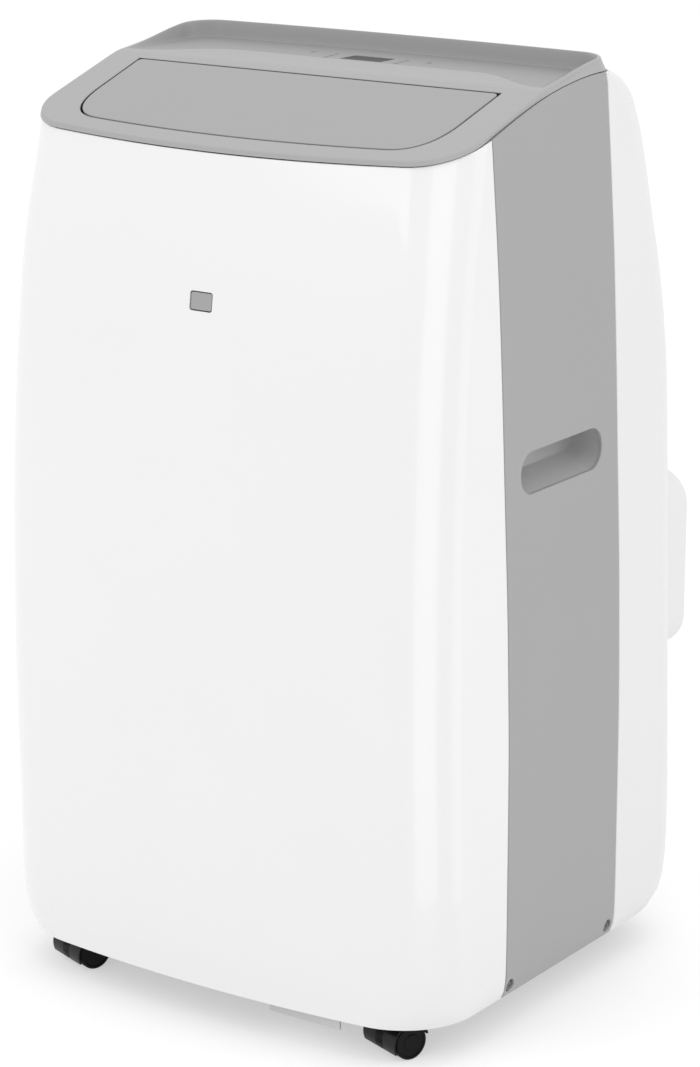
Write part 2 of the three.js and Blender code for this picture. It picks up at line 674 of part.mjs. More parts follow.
function finnedCoil(x0, x1, y0, y1, z0, z1) {
  const endPlates = [x0, x1 - 2].map((x) => box(x, x + 2, y0 - 4, y1 + 4, z0 - 3, z1 + 3));
  return joined(box(x0 + 1, x1 - 1, y0, y1, z0, z1), ...endPlates);
}

function compressor() {
  const can = [[0, 32], [62, 32], [62, 36], [52, 42], [55, 60], [55, 205], [44, 226], [22, 236], [0, 238]];
  return solid(turned(can, 24).rotateX(Math.PI / 2)).translate([-105, -95, 0]);
}

function accumulator() {
  const bottle = turned([[0, 31.6], [8, 31.6], [8, 74], [20, 84], [20, 196], [10, 212], [0, 214]], 16);
  return solid(bottle.rotateX(Math.PI / 2)).translate([-22, -120, 0]);
}

function pipe(points, radius) {
  const path = new THREE.CatmullRomCurve3(points.map((p) => new THREE.Vector3(...p)));
  const ring = new THREE.Shape();
  ring.absarc(0, 0, radius, 0, 2 * Math.PI);
  const options = { extrudePath: path, steps: 26, curveSegments: 4, bevelEnabled: false };
  return solid(new THREE.ExtrudeGeometry(ring, options));
}

function dischargePipe() {
  const way = [[-105, -95, 240], [-105, -93, 256], [-130, -30, 262], [-160, 70, 230], [-166, 128, 190],
    [-160.5, 138, 176]];
  return pipe(way, 4);
}

function suctionPipe() {
  const way = [[-22, -120, 214.8], [-26, -120, 240], [-90, -100, 285], [-150, -20, 305], [-168, 70, 322],
    [-168, 97, 352], [-168, 97, 400], [-160.5, 97, 420]];
  return pipe(way, 4);
}

function electricalBox() {
  return joined(box(108, 176, -150, -70, 60, 236), box(112, 172, -154, -149, 64, 232));
}

function controlBoard() {
  return joined(box(-74, 74, -20, 50, 668, 670), box(-20, 20, 0, 27, 669.8, 683.5));
}

function displayWindow() {
  return box(-DISPLAY.half, DISPLAY.half, DISPLAY.front, DISPLAY.rear, DISH_FLOOR - 2.6, DISH_FLOOR - 0.2);
}

function baseBracket() {
  return joined(box(53, 116, -189, -186.5, 14, 27.6), box(53, 116, -189, -170, 25.4, 27.6));
}

// ---- Assembly ----

const finish = {
  white: { color: 0xf1f1f0, roughness: 0.25 },
  grey: { color: 0xb2b2b2, roughness: 0.5 },
  darkGrey: { color: 0x6e6f71, roughness: 0.3 },
  black: { color: 0x151515, roughness: 0.45 },
  steel: { color: 0x9b9d9f, roughness: 0.35, metalness: 1 },
  zinc: { color: 0xb8babb, roughness: 0.5, metalness: 0.9 },
  copper: { color: 0xb86e46, roughness: 0.35, metalness: 1 },
  fins: { color: 0xc9cbcc, roughness: 0.4, metalness: 0.9 },
  board: { color: 0x2f5d3a, roughness: 0.6 },
  net: { color: 0x3a3c3e, roughness: 0.9 },
};

const airConditioner = new THREE.Group();
const raised = new THREE.Group();
raised.position.z = FLOOR_DROP;
airConditioner.add(raised);

function place(name, body, look, parent = raised, [x, y, z] = [0, 0, 0]) {
  const geometry = geometryOf(body);
  geometry.computeVertexNormals();
  const mesh = new THREE.Mesh(geometry, new THREE.MeshStandardMaterial(finish[look]));
  mesh.name = name;
  mesh.position.set(x, y, z);
  parent.add(mesh);
}

place("front_panel", frontPanel(), "white");
place("rear_panel", rearPanel(), "white");
place("exhaust_plinth", exhaustPlinth(), "white");
const rightSide = sidePanel();
place("side_panel_right", rightSide, "grey");
place("side_panel_left", mirrored(rightSide), "grey");
const rightPocket = gripPocket();
place("grip_pocket_right", rightPocket, "grey");
place("grip_pocket_left", mirrored(rightPocket), "grey");
SCREW_YS.forEach((y, i) => {
  const end = i === 0 ? "front" : "rear";
  const reach = HALF_WIDTH(SCREW_Z);
  place(`side_screw_right_${end}`, sideScrew(), "steel", raised, [reach, y, SCREW_Z]);
  place(`side_screw_left_${end}`, mirrored(sideScrew()), "steel", raised, [-reach, y, SCREW_Z]);
});
place("remote_receiver_window", receiverWindow(), "darkGrey");
place("top_cover", topCover(), "grey");
place("display_window", displayWindow(), "darkGrey");
place("control_board", controlBoard(), "board");
place("base_pan", basePan(), "black");
place("base_bracket", baseBracket(), "grey");
place("middle_tray", middleTray(), "black");

const outlet = new THREE.Group();
outlet.rotation.x = OUTLET_TILT;
outlet.position.set(0, OUTLET_ORIGIN.y, OUTLET_ORIGIN.z);
raised.add(outlet);
place("outlet_flap", outletFlap(), "grey", outlet);
place("outlet_duct", outletDuct(), "grey", outlet);
vaneXs().forEach((x, i) => place(`steering_vane_${i + 1}`, vane(), "grey", outlet, [x, VANE.v, 0]));
place("vane_link_bar", vaneLink(), "grey", outlet);
place("vane_motor", vaneMotor(), "steel", outlet);
place("flap_motor", flapMotor(), "black", outlet);

const filters = { upper: UPPER_WINDOW, lower: LOWER_WINDOW };
Object.entries(filters).forEach(([level, opening]) => {
  place(`${level}_filter_grille`, filterGrille(opening), "white");
  place(`${level}_filter_net`, filterNet(opening), "net");
  const drain = DRAINS[level];
  place(`${level}_drain_plug`, drainPlug(), "black", raised, [drain.x, REAR_Y(drain.z), drain.z]);
});
place("cord_gland", cordGland(), "black", raised, [GLAND.x, REAR_Y(GLAND.z), GLAND.z]);
place("exhaust_collar", exhaustCollar(), "grey", raised, [0, 0, PORT.z]);

place("evaporator_coil", finnedCoil(-150, 150, 82, 108, 372, 586), "fins");
place("condenser_coil", finnedCoil(-155, 120, 126, 150, 64, 206), "fins");
place("evaporator_fan_housing", upperFanHousing(), "white");
place("condenser_fan_housing", lowerFanHousing(), "black");
place("exhaust_duct", exhaustDuct(), "black");
const { wheel: upperWheel, back: upperBack, z: upperZ } = UPPER_FAN;
const { wheel: lowerWheel, back: lowerBack, z: lowerZ } = LOWER_FAN;
place("evaporator_fan_wheel", blowerWheel(upperWheel, 76, 14), "black", raised, [0, upperBack + 9, upperZ]);
place("condenser_fan_wheel", blowerWheel(lowerWheel, 62, 12), "black", raised, [0, lowerBack + 9, lowerZ]);
place("evaporator_fan_motor", fanMotor(38, 42), "zinc", raised, [0, upperBack - 0.5, upperZ]);
place("condenser_fan_motor", fanMotor(34, 38), "zinc", raised, [0, lowerBack - 0.5, lowerZ]);
place("compressor", compressor(), "black");
place("accumulator", accumulator(), "black");
place("discharge_pipe", dischargePipe(), "copper");
place("suction_pipe", suctionPipe(), "copper");
place("electrical_box", electricalBox(), "zinc");

castorPlaces().forEach(([name, x, y]) => {
  const castor = new THREE.Group();
  castor.position.set(x, y, -FLOOR_DROP);
  castor.rotation.z = CASTOR.turn;
  raised.add(castor);
  place(`castor_frame_${name}`, castorFrame(), "black", castor);
  place(`castor_wheels_${name}`, castorWheels(), "black", castor);
});

export default airConditioner;
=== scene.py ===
import math

import bmesh
import bpy
import numpy as np
from mathutils import Matrix, Vector
from mathutils.geometry import delaunay_2d_cdt


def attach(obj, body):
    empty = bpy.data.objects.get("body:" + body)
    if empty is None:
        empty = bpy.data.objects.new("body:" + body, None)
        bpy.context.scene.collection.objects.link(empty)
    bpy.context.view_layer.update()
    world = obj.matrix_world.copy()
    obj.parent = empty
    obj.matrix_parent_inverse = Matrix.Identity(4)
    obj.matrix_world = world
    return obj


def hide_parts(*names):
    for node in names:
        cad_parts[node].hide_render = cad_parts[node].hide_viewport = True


# A portable air conditioner. Shapes are worked out in millimetres in the cabinet's own frame, which stands
# LIFT above the floor, and become metres in the row frame when a mesh is made.
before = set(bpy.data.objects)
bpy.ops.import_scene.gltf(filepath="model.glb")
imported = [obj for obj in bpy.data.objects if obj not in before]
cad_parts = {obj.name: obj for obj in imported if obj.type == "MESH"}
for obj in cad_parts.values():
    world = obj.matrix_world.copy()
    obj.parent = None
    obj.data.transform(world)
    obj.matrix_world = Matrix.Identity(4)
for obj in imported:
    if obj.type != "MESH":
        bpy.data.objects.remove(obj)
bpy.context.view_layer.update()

MM = 0.001
LIFT = 2.5
TAU = 2 * math.pi
NUDGE = 0.05  # the step that a surface's slope is measured over

# ---- outer form


def profile(stations):
    """A smooth curve through a few stations, read at a number or at a whole array."""
    at, value = np.array(stations, float).T
    slope = np.diff(value) / np.diff(at)
    before, after = np.r_[slope[0], slope], np.r_[slope, slope[-1]]
    product = before * after
    total = np.where(product > 0, before + after, 1)
    tangent = np.where(product > 0, 2 * product / total, 0)

    def read(x):
        x = np.clip(np.asarray(x, float), at[0], at[-1])
        i = np.clip(np.searchsorted(at, x, side="right") - 1, 0, len(at) - 2)
        width = at[i + 1] - at[i]
        t = (x - at[i]) / width
        bend = tangent[i] * (t**3 - 2 * t**2 + t) + tangent[i + 1] * (t**3 - t**2)
        return value[i] + (value[i + 1] - value[i]) * t * t * (3 - 2 * t) + width * bend

    return read


BOTTOM = 24.5
SEAM = 0.3  # half the open joint between two panels
half_width = profile([[BOTTOM, 194.5], [32, 197.4], [45, 198.7], [70, 199], [150, 199], [300, 198],
                      [450, 196.3], [550, 194.6], [640, 191.5], [690, 189.5]])
front_y = profile([[BOTTOM, -202], [60, -204.5], [130, -206], [250, -208.5], [350, -207.3], [450, -201.8],
                   [550, -191], [640, -173.5], [700, -160]])
rear_y = profile([[BOTTOM, 162], [32, 169.5], [45, 173.5], [100, 175.5], [200, 172], [300, 168.5], [400, 165],
                  [460, 161.5], [520, 152.5], [580, 137.5], [640, 122], [664, 110], [680, 90], [690, 66]])
front_corner = profile([[BOTTOM, 60], [40, 50], [70, 44], [560, 44], [640, 48], [700, 48]])
rear_corner = profile([[BOTTOM, 60], [40, 50], [70, 44], [650, 44], [690, 30]])
strip_lean = profile([[BOTTOM, 0], [200, 0], [300, -2], [400, -6.5], [500, -11], [600, -16], [690, -21]])
seam_z = profile([[-215, 629], [-173.5, 641.8], [-117, 659.5], [-73, 673.2], [-46, 680.3], [-19, 685.6],
                  [9, 689], [30, 690], [50, 689.6], [70, 688.4], [215, 688.4]])
rim_z = profile([[-46, 685.6], [-19, 690], [3, 694.3], [20, 697.3], [38, 699.3], [58, 700], [80, 700]])
FRONT_CROWN = 1200
REAR_CROWN = 2500
STRIP_FRONT = -94.3
STRIP_REAR = 60.7
REAR_CREST = 689.8  # top of the rear panel, where it meets the cover
CREST_FOOT = 50  # Y, behind which the rear panel's edge climbs to its crest
OUTLET_TILT = math.radians(17.5)
OUTLET_ORIGIN = (-55, 682.8)


def end_shape(half, corner, crown):
    reach = half - corner
    meet = np.arcsin(reach / (crown - corner))
    centre = crown - np.sqrt((crown - corner) ** 2 - reach**2)
    return reach, meet, centre


def end_point(run, half, corner, crown):
    """The point of a plan outline's end at a run from its middle, as (x, distance behind the middle)."""
    reach, meet, centre = end_shape(half, corner, crown)
    side = np.sign(run)
    run = np.abs(run)
    crown_run = crown * meet
    turn = meet + (run - crown_run) / corner
    on_crown, on_corner = run <= crown_run, turn <= math.pi / 2
    straight = run - crown_run - corner * (math.pi / 2 - meet)
    round_x = np.where(on_corner, reach + corner * np.sin(turn), half)
    x = np.where(on_crown, crown * np.sin(run / crown), round_x)
    depth = np.where(on_crown, crown * (1 - np.cos(run / crown)),
                     np.where(on_corner, centre - corner * np.cos(turn), centre + straight))
    return side * x, depth


def end_run(depth, half, corner, crown):
    """The run at which an end's outline has come this far behind its middle."""
    reach, meet, centre = end_shape(half, corner, crown)
    turn = np.arccos(np.clip((centre - depth) / corner, 0, 1))
    on_corner = crown * meet + corner * (turn - meet)
    return np.where(depth < centre, on_corner, crown * meet + corner * (math.pi / 2 - meet) + depth - centre)


def front_surface(u, z):
    x, depth = end_point(u, half_width(z), front_corner(z), FRONT_CROWN)
    return np.stack([x, front_y(z) + depth, z], -1)


def rear_surface(u, z):
    x, depth = end_point(u, half_width(z), rear_corner(z), REAR_CROWN)
    return np.stack([x, rear_y(z) - depth, z], -1)


def side_surface(u, z):
    """u is the distance in Y from the strip's lean."""
    y = u + strip_lean(z)
    half, corner = half_width(z), rear_corner(z)
    reach, _, centre = end_shape(half, corner, REAR_CROWN)
    behind = np.clip(y - (rear_y(z) - centre), 0, corner)
    return np.stack([reach + np.sqrt(corner**2 - behind**2), y, z], -1)


def outlet_surface(u, v):
    """v is the distance up the outlet plane from its rear edge, so it is mostly negative."""
    y = OUTLET_ORIGIN[0] + v * math.cos(OUTLET_TILT)
    return np.stack([u, y, OUTLET_ORIGIN[1] + v * math.sin(OUTLET_TILT)], -1)


def outlet_z(y):
    return OUTLET_ORIGIN[1] + (y - OUTLET_ORIGIN[0]) * math.tan(OUTLET_TILT)


# ---- mesh helpers


def collect(name, verts, faces, look, body, replaces=(), slot=None, sharp=40, normals=None):
    """Makes a smooth-shaded piece from points in millimetres, and puts it on its body."""
    mesh = bpy.data.meshes.new(name)
    points = np.array(verts, float)
    points[:, 2] += LIFT
    mesh.from_pydata((points * MM).tolist(), [], [list(f) for f in faces])
    bm = bmesh.new()
    bm.from_mesh(mesh)
    if normals is None:
        bmesh.ops.recalc_face_normals(bm, faces=bm.faces)
    limit = math.radians(sharp)
    for face in bm.faces:
        face.smooth = True
    for edge in bm.edges:
        edge.smooth = not (len(edge.link_faces) == 2 and edge.calc_face_angle(0) > limit)
    bm.to_mesh(mesh)
    bm.free()
    if normals is not None:
        mesh.normals_split_custom_set_from_vertices(normals.tolist())
    piece = bpy.data.objects.new(name, mesh)
    bpy.context.scene.collection.objects.link(piece)
    piece.data.materials.append(looks[look])
    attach(piece, body)
    for node in replaces:
        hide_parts(node)
    return piece


def merged(parts):
    """Several (verts, faces) as one."""
    verts, faces, start = [], [], 0
    for v, f in parts:
        verts += [tuple(p) for p in v]
        faces += [tuple(i + start for i in face) for face in f]
        start += len(v)
    return verts, faces


def flipped(part):
    """A part's mirror image on the other side."""
    verts, faces = part
    return [(-x, y, z) for x, y, z in verts], [tuple(reversed(f)) for f in faces]


def moved(part, matrix):
    verts, faces = part
    return [tuple(matrix @ Vector(v)) for v in verts], faces


def rounded_loop(x0, x1, y0, y1, radius, step=4.0, arc=6):
    """A rounded rectangle's outline, anticlockwise."""
    points = []
    corners = [(x1 - radius, y0 + radius, -0.25), (x1 - radius, y1 - radius, 0),
               (x0 + radius, y1 - radius, 0.25), (x0 + radius, y0 + radius, 0.5)]
    for k, (cx, cy, start) in enumerate(corners):
        turn = (start + np.linspace(0, 0.25, arc + 1)) * TAU
        points += [(cx + radius * math.cos(t), cy + radius * math.sin(t)) for t in turn]
        nx, ny, following = corners[(k + 1) % 4]
        end = (nx + radius * math.cos(following * TAU), ny + radius * math.sin(following * TAU))
        begin = points[-1]
        length = math.dist(begin, end)
        for t in np.linspace(0, 1, max(2, int(length / step)) + 1)[1:-1]:
            points.append((begin[0] + (end[0] - begin[0]) * t, begin[1] + (end[1] - begin[1]) * t))
    return np.array(points)


def circle_loop(x, y, radius, count=32):
    turn = np.arange(count) / count * TAU
    return np.stack([x + radius * np.cos(turn), y + radius * np.sin(turn)], -1)


def offset_loop(loop, distance):
    """An anticlockwise loop moved inwards by a distance, or outwards by a negative one."""
    before = loop - np.roll(loop, 1, 0)
    after = np.roll(loop, -1, 0) - loop
    before /= np.linalg.norm(before, axis=1, keepdims=True) + 1e-12
    after /= np.linalg.norm(after, axis=1, keepdims=True) + 1e-12
    first = np.stack([-before[:, 1], before[:, 0]], -1)
    second = np.stack([-after[:, 1], after[:, 0]], -1)
    middle = first + second
    scale = 2 / np.maximum((middle**2).sum(1, keepdims=True), 0.7)
    return loop + middle * scale * distance


def inside_loop(points, loop):
    x, y = points[:, 0], points[:, 1]
    inside = np.zeros(len(points), bool)
    for (x0, y0), (x1, y1) in zip(loop, np.roll(loop, -1, 0)):
        crosses = (y0 > y) != (y1 > y)
        reach = x0 + (y - y0) * (x1 - x0) / (y1 - y0 + 1e-12 * (y1 == y0))
        inside ^= crosses & (x < reach)
    return inside


def ring_faces(count, rings):
    """Quads between rings of the same number of points, stored one after another."""
    faces = []
    for k in range(rings - 1):
        for i in range(count):
            j = (i + 1) % count
            faces.append((k * count + i, k * count + j, (k + 1) * count + j, (k + 1) * count + i))
    return faces


def slopes(surface, u, v):
    """A surface's directions along u and v, each over two nudges, and its normal."""
    along = surface(u + NUDGE, v) - surface(u - NUDGE, v)
    across = surface(u, v + NUDGE) - surface(u, v - NUDGE)
    normal = np.cross(along, across)
    return along, across, normal / (np.linalg.norm(normal, axis=-1, keepdims=True) + 1e-12)


def sheet(surface, outer, holes, grid, roll=1.0, wall=3.0, steps=4, outward=(0, 0, 1)):
    """A skin over surface(u, v), cut to an outer loop and to hole loops, with every edge rolled over and
    turned in as a wall. Loops and grid points are in (u, v). The roll is one radius, or one for each loop,
    and a loop's own can vary along it. Returns points, faces and vertex normals."""
    rolls = roll if isinstance(roll, list) else [roll] * (1 + len(holes))
    middle_normal = slopes(surface, *outer.mean(axis=0))[2]
    turn = 1 if np.dot(middle_normal, outward) > 0 else -1
    verts, normals, faces, kept_loops, inner_index = [], [], [], [], []
    for k, loop in enumerate([outer, *holes]):
        sign = 1 if k == 0 else -1
        start, count = len(verts), len(loop)
        radius = np.broadcast_to(rolls[k], count)[:, None]
        angles = np.r_[0, np.linspace(0, math.pi / 2, steps + 1)]
        for ring, angle in enumerate(angles):
            reach = radius * (1 - math.cos(angle))
            uv = offset_loop(loop, sign * reach)
            along, across, normal = slopes(surface, *uv.T)
            normal = normal * turn
            drop = wall if ring == 0 else radius * (1 - math.sin(angle))
            back = offset_loop(loop, sign * (reach + 0.5)) - uv
            into = (along * back[:, :1] + across * back[:, 1:]) / (2 * NUDGE)
            into -= normal * (into * normal).sum(1, keepdims=True)
            into /= np.linalg.norm(into, axis=1, keepdims=True) + 1e-12
            shade = normal * math.sin(angle) - into * math.cos(angle)
            verts += (surface(*uv.T) - normal * drop).tolist()
            normals += shade.tolist()
        kept_loops.append(uv)
        inner_index.append(len(verts) - count)
        for face in ring_faces(count, len(angles)):
            quad = tuple(start + i for i in face)
            faces.append(quad if sign * turn > 0 else quad[::-1])
    clear = [np.max(r) + 0.6 for r in rolls]
    keep = inside_loop(grid, offset_loop(outer, clear[0]))
    for hole, distance in zip(holes, clear[1:]):
        keep &= ~inside_loop(grid, offset_loop(hole, -distance))
    grid = grid[keep]
    flat = np.concatenate([*kept_loops, grid])
    index, edges = [], []
    for loop, first in zip(kept_loops, inner_index):
        start, count = len(index), len(loop)
        edges += [(start + i, start + (i + 1) % count) for i in range(count)]
        index += range(first, first + count)
    index += range(len(verts), len(verts) + len(grid))
    verts += surface(*grid.T).tolist()
    normals += (slopes(surface, *grid.T)[2] * turn).tolist()
    out, _, tris, origins, _, _ = delaunay_2d_cdt([Vector(p) for p in flat], edges, [], 0, 1e-5)
    centres = np.array([sum((out[i] for i in tri), Vector((0, 0))) / 3 for tri in tris])
    keep = inside_loop(centres, kept_loops[0])
    for loop in kept_loops[1:]:
        keep &= ~inside_loop(centres, loop)
    for tri, wanted in zip(tris, keep):
        if not wanted or any(not origins[i] for i in tri):
            continue
        face = tuple(index[origins[i][0]] for i in tri)
        if len(set(face)) == 3:
            faces.append(face if turn > 0 else face[::-1])
    return np.array(verts), faces, np.array(normals)


def sheet_piece(name, made, look, body, replaces=(), mirror=False):
    verts, faces, normals = made
    if mirror:
        verts, normals = verts * [-1, 1, 1], normals * [-1, 1, 1]
        faces = [tuple(reversed(f)) for f in faces]
    return collect(name, verts, faces, look, body, replaces, normals=normals)


def closed_rings(rings):
    """A closed solid from rings of points: quads between them and a face on each end."""
    count, last = len(rings[0]), (len(rings) - 1) * len(rings[0])
    faces = ring_faces(count, len(rings))
    faces.append(tuple(range(count))[::-1])
    faces.append(tuple(range(last, last + count)))
    return [p for ring in rings for p in ring], faces


def slab(outline, half, edge=0.3):
    """A plate across X over an anticlockwise outline in (y, z), with its edges bevelled."""
    small = offset_loop(outline, edge)
    rows = [(-half, small), (edge - half, outline), (half - edge, outline), (half, small)]
    return closed_rings([[(x, y, z) for y, z in loop] for x, loop in rows])


def lathe(pairs, count=48, centre=(0, 0, 0), axis="y"):
    """Turns [radius, height] pairs about an axis. A pair of radius zero closes the end."""
    verts, faces, rings = [], [], []
    for radius, height in pairs:
        ring = []
        for k in range(count if radius > 1e-6 else 1):
            a, b = radius * math.cos(k / count * TAU), radius * math.sin(k / count * TAU)
            spot = {"x": (height, a, b), "y": (b, height, a), "z": (a, b, height)}[axis]
            ring.append(len(verts))
            verts.append(tuple(p + c for p, c in zip(spot, centre)))
        rings.append(ring)
    for low, high in zip(rings, rings[1:]):
        for k in range(count):
            j = (k + 1) % count
            corners = low[k % len(low)], low[j % len(low)], high[j % len(high)], high[k % len(high)]
            face = tuple(dict.fromkeys(corners))
            if len(face) > 2:
                faces.append(face)
    return verts, faces


def rolled_box(x0, x1, y0, y1, z0, z1, radius, steps=3):
    """A block with every edge and corner rounded: a sphere's points pushed out to the block's corners."""
    count = 4 * (steps + 1)
    rings = []
    for k in range(2 * (steps + 1)):
        half = k // (steps + 1)
        lift = -math.pi / 2 + (k - half) / (2 * steps) * math.pi
        ring = []
        for m in range(count):
            quarter = m // (steps + 1)
            turn = (m - quarter) / (4 * steps) * TAU
            x = (x1 - radius if quarter in (0, 3) else x0 + radius) + radius * math.cos(lift) * math.cos(turn)
            y = (y1 - radius if quarter in (0, 1) else y0 + radius) + radius * math.cos(lift) * math.sin(turn)
            z = (z1 - radius if half else z0 + radius) + radius * math.sin(lift)
            ring.append((x, y, z))
        rings.append(ring)
    return closed_rings(rings)


# ---- materials


def add_node(tree, kind, values=(), sources=(), operation=None):
    """A shader node with constant values on some sockets and other nodes' outputs linked to others."""
    node = tree.nodes.new("ShaderNode" + kind)
    for socket, value in dict(values).items():
        node.inputs[socket].default_value = value
    for socket, source in dict(sources).items():
        tree.links.new(source, node.inputs[socket])
    if operation:
        node.operation = operation
    return node


def material(name, color, roughness, grain=0.0, grain_size=0.4, mottle=0.02, metal=0.0, coat=0.0, waves=0.0,
             uneven=0.04, specular=0.5):
    """A moulded or metal surface: a fine grain and slow waves in its bump, with its colour and roughness
    varying a little from place to place."""
    made = bpy.data.materials.new(name)
    made.use_nodes = True
    tree = made.node_tree
    tree.nodes.clear()
    place = add_node(tree, "TexCoord").outputs["Object"]
    slow = add_node(tree, "TexNoise", {"Scale": 9.0, "Detail": 3.0}, {"Vector": place}).outputs["Fac"]
    grains = {"Scale": 250 / grain_size, "Detail": 2.0}
    fine = add_node(tree, "TexNoise", grains, {"Vector": place}).outputs["Fac"]
    ramp = add_node(tree, "ValToRGB", sources={"Fac": slow})
    low, high = ramp.color_ramp.elements
    low.position, high.position = 0.3, 0.7
    low.color = (*[c * (1 - mottle) for c in color], 1)
    high.color = (*[c * (1 + mottle) for c in color], 1)
    gloss = add_node(tree, "MapRange", {"To Min": roughness - uneven, "To Max": roughness + uneven},
                     {"Value": slow})
    grain_bump = add_node(tree, "Bump", {"Strength": grain, "Distance": 0.0001}, {"Height": fine})
    wave_bump = add_node(tree, "Bump", {"Strength": waves, "Distance": 0.001},
                         {"Height": slow, "Normal": grain_bump.outputs["Normal"]})
    shader = add_node(tree, "BsdfPrincipled", {
        "Metallic": metal, "Coat Weight": coat, "Coat Roughness": 0.06, "Specular IOR Level": specular,
    }, {
        "Base Color": ramp.outputs["Color"], "Roughness": gloss.outputs["Result"],
        "Normal": wave_bump.outputs["Normal"],
    })
    add_node(tree, "OutputMaterial", sources={"Surface": shader.outputs["BSDF"]})
    return made


def striped(made, axes, pitch, dark, share=0.5, depth=0.0006):
    """Adds straight stripes, such as a coil's fins, to a material: dark gaps, painted shade between the fins,
    that also bump inwards.
    Along two axes they leave small squares, as in a net, and the dark lines round them are painted shade."""
    tree = made.node_tree
    shader = next(n for n in tree.nodes if n.type == "BSDF_PRINCIPLED")
    place = next(n for n in tree.nodes if n.type == "TEX_COORD")
    split = add_node(tree, "SeparateXYZ", sources={"Vector": place.outputs["Object"]})
    top = None
    for axis in axes:
        scaled = add_node(tree, "Math", {1: 1000 / pitch}, {0: split.outputs[axis]}, "MULTIPLY")
        wave = add_node(tree, "Math", {1: 0.5}, {0: scaled.outputs[0]}, "PINGPONG")
        line = add_node(tree, "Math", {1: share / 2}, {0: wave.outputs[0]}, "GREATER_THAN").outputs[0]
        top = add_node(tree, "Math", (), {0: top, 1: line}, "MULTIPLY").outputs[0] if top else line
    mix = add_node(tree, "Mix", sources={"Factor": top})
    mix.data_type = "RGBA"
    color_a = next(s for s in mix.inputs if s.type == "RGBA" and s.name == "A")
    color_b = next(s for s in mix.inputs if s.type == "RGBA" and s.name == "B")
    color_a.default_value = (*dark, 1)
    link = tree.links.new
    link(shader.inputs["Base Color"].links[0].from_socket, color_b)
    link(next(s for s in mix.outputs if s.type == "RGBA"), shader.inputs["Base Color"])
    bump = add_node(tree, "Bump", {"Strength": 1.0, "Distance": depth},
                    {"Height": top, "Normal": shader.inputs["Normal"].links[0].from_socket})
    link(bump.outputs["Normal"], shader.inputs["Normal"])


def grey(value, blue=0.0):
    return value, value, value + blue


looks = {}


def add_look(name, color, roughness, slot=None, stripes=None, **finish):
    """Makes a material, with stripes if they are given, and keeps it in looks under its name. The slot
    argument is not used.
    """
    looks[name] = material(name, color, roughness, **finish)
    if stripes:
        striped(looks[name], *stripes)


MOULDED = {"grain_size": 0.5, "mottle": 0.01, "waves": 0.03}
add_look("front_white", grey(0.765), 0.3, grain=0.02, coat=1.0, mottle=0.004, waves=0.02, uneven=0.02)
add_look("rear_white", grey(0.735), 0.36, grain=0.12, mottle=0.006, waves=0.03)
add_look("side_grey", grey(0.335), 0.5, grain=0.3, **MOULDED)
# the pocket's grey is a lighter copy of the strip's: painted light that offsets the shade inside the grip
# pocket
add_look("cup_painted_light_grey", grey(0.43), 0.3, "side_grey", grain=0.15, grain_size=0.5, mottle=0.02, waves=0.05)
add_look("cover_grey", grey(0.355), 0.46, grain=0.3, **MOULDED)
# the dish's grey is a darker copy of the cover's: painted shade on the dish floor
add_look("dish_painted_shade_grey", grey(0.275), 0.42, "cover_grey", grain=0.2, **MOULDED)
add_look("flap_grey", grey(0.325), 0.46, "cover_grey", grain=0.3, **MOULDED)
add_look("duct_grey", grey(0.09, 0.002), 0.55, grain=0.3, mottle=0.04)
add_look("display", grey(0.035, 0.002), 0.2, "display_lens", grain=0.02, mottle=0.04, specular=0.1)
add_look("receiver", grey(0.31, 0.005), 0.25, "receiver_lens", grain=0.05, mottle=0.04, coat=0.3)
# this black look is the receiver's bed, and also painted shade: the screws' crosses and the lining in the
# flap's gap
add_look("gasket", grey(0.03), 0.7, "receiver_lens", grain=0.3)
add_look("print", grey(0.05), 0.55, "cover_grey", grain=0.1)
add_look("black", grey(0.018), 0.5, "pan_black", grain=0.4, grain_size=0.6, mottle=0.08)
add_look("castor", grey(0.005), 0.25, "castor_black", grain=0.15, grain_size=0.6, mottle=0.1, specular=0.2)
add_look("tread", grey(0.005), 0.45, "castor_tread", grain=0.3, mottle=0.15, specular=0.12)
add_look("steel", grey(0.17, 0.005), 0.35, "screw_steel", grain=0.2, metal=1.0, mottle=0.06)
add_look("bracket", grey(0.55, 0.01), 0.42, "bracket_grey", grain=0.2, mottle=0.03, metal=0.3)
add_look("collar", grey(0.34), 0.5, "collar_grey", grain=0.3, mottle=0.02)
add_look("rubber", grey(0.02), 0.7, "rubber_black", grain=0.5, mottle=0.15)
add_look("wheel", grey(0.02), 0.5, "wheel_black", grain=0.3, mottle=0.1)
add_look("zinc", (0.5, 0.51, 0.53), 0.38, grain=0.5, grain_size=2.0, metal=0.9, mottle=0.12)
add_look("compressor", grey(0.014), 0.32, "compressor_paint", grain=0.5, grain_size=1.2, mottle=0.1)
add_look("copper", (0.72, 0.36, 0.2), 0.3, grain=0.2, metal=1.0, mottle=0.12, uneven=0.1)
add_look("board", (0.02, 0.11, 0.045), 0.45, grain=0.3, mottle=0.1)
# the dark stripes of the fins and the net are painted shade in their gaps
add_look("fins", (0.68, 0.69, 0.7), 0.35, stripes=("X", 1.8, grey(0.08)), grain=0.2, metal=0.9, mottle=0.05)
add_look("net", (0.05, 0.052, 0.055), 0.7, stripes=("XZ", 1.6, grey(0.004)), grain=0.2, mottle=0.05)

# ---- front panel

RECEIVER = {"z": 539.5, "half_width": 9.2, "half_height": 6.2}


def grid_of(us, vs):
    u, v = np.meshgrid(us, vs)
    return np.stack([u.ravel(), v.ravel()], -1)


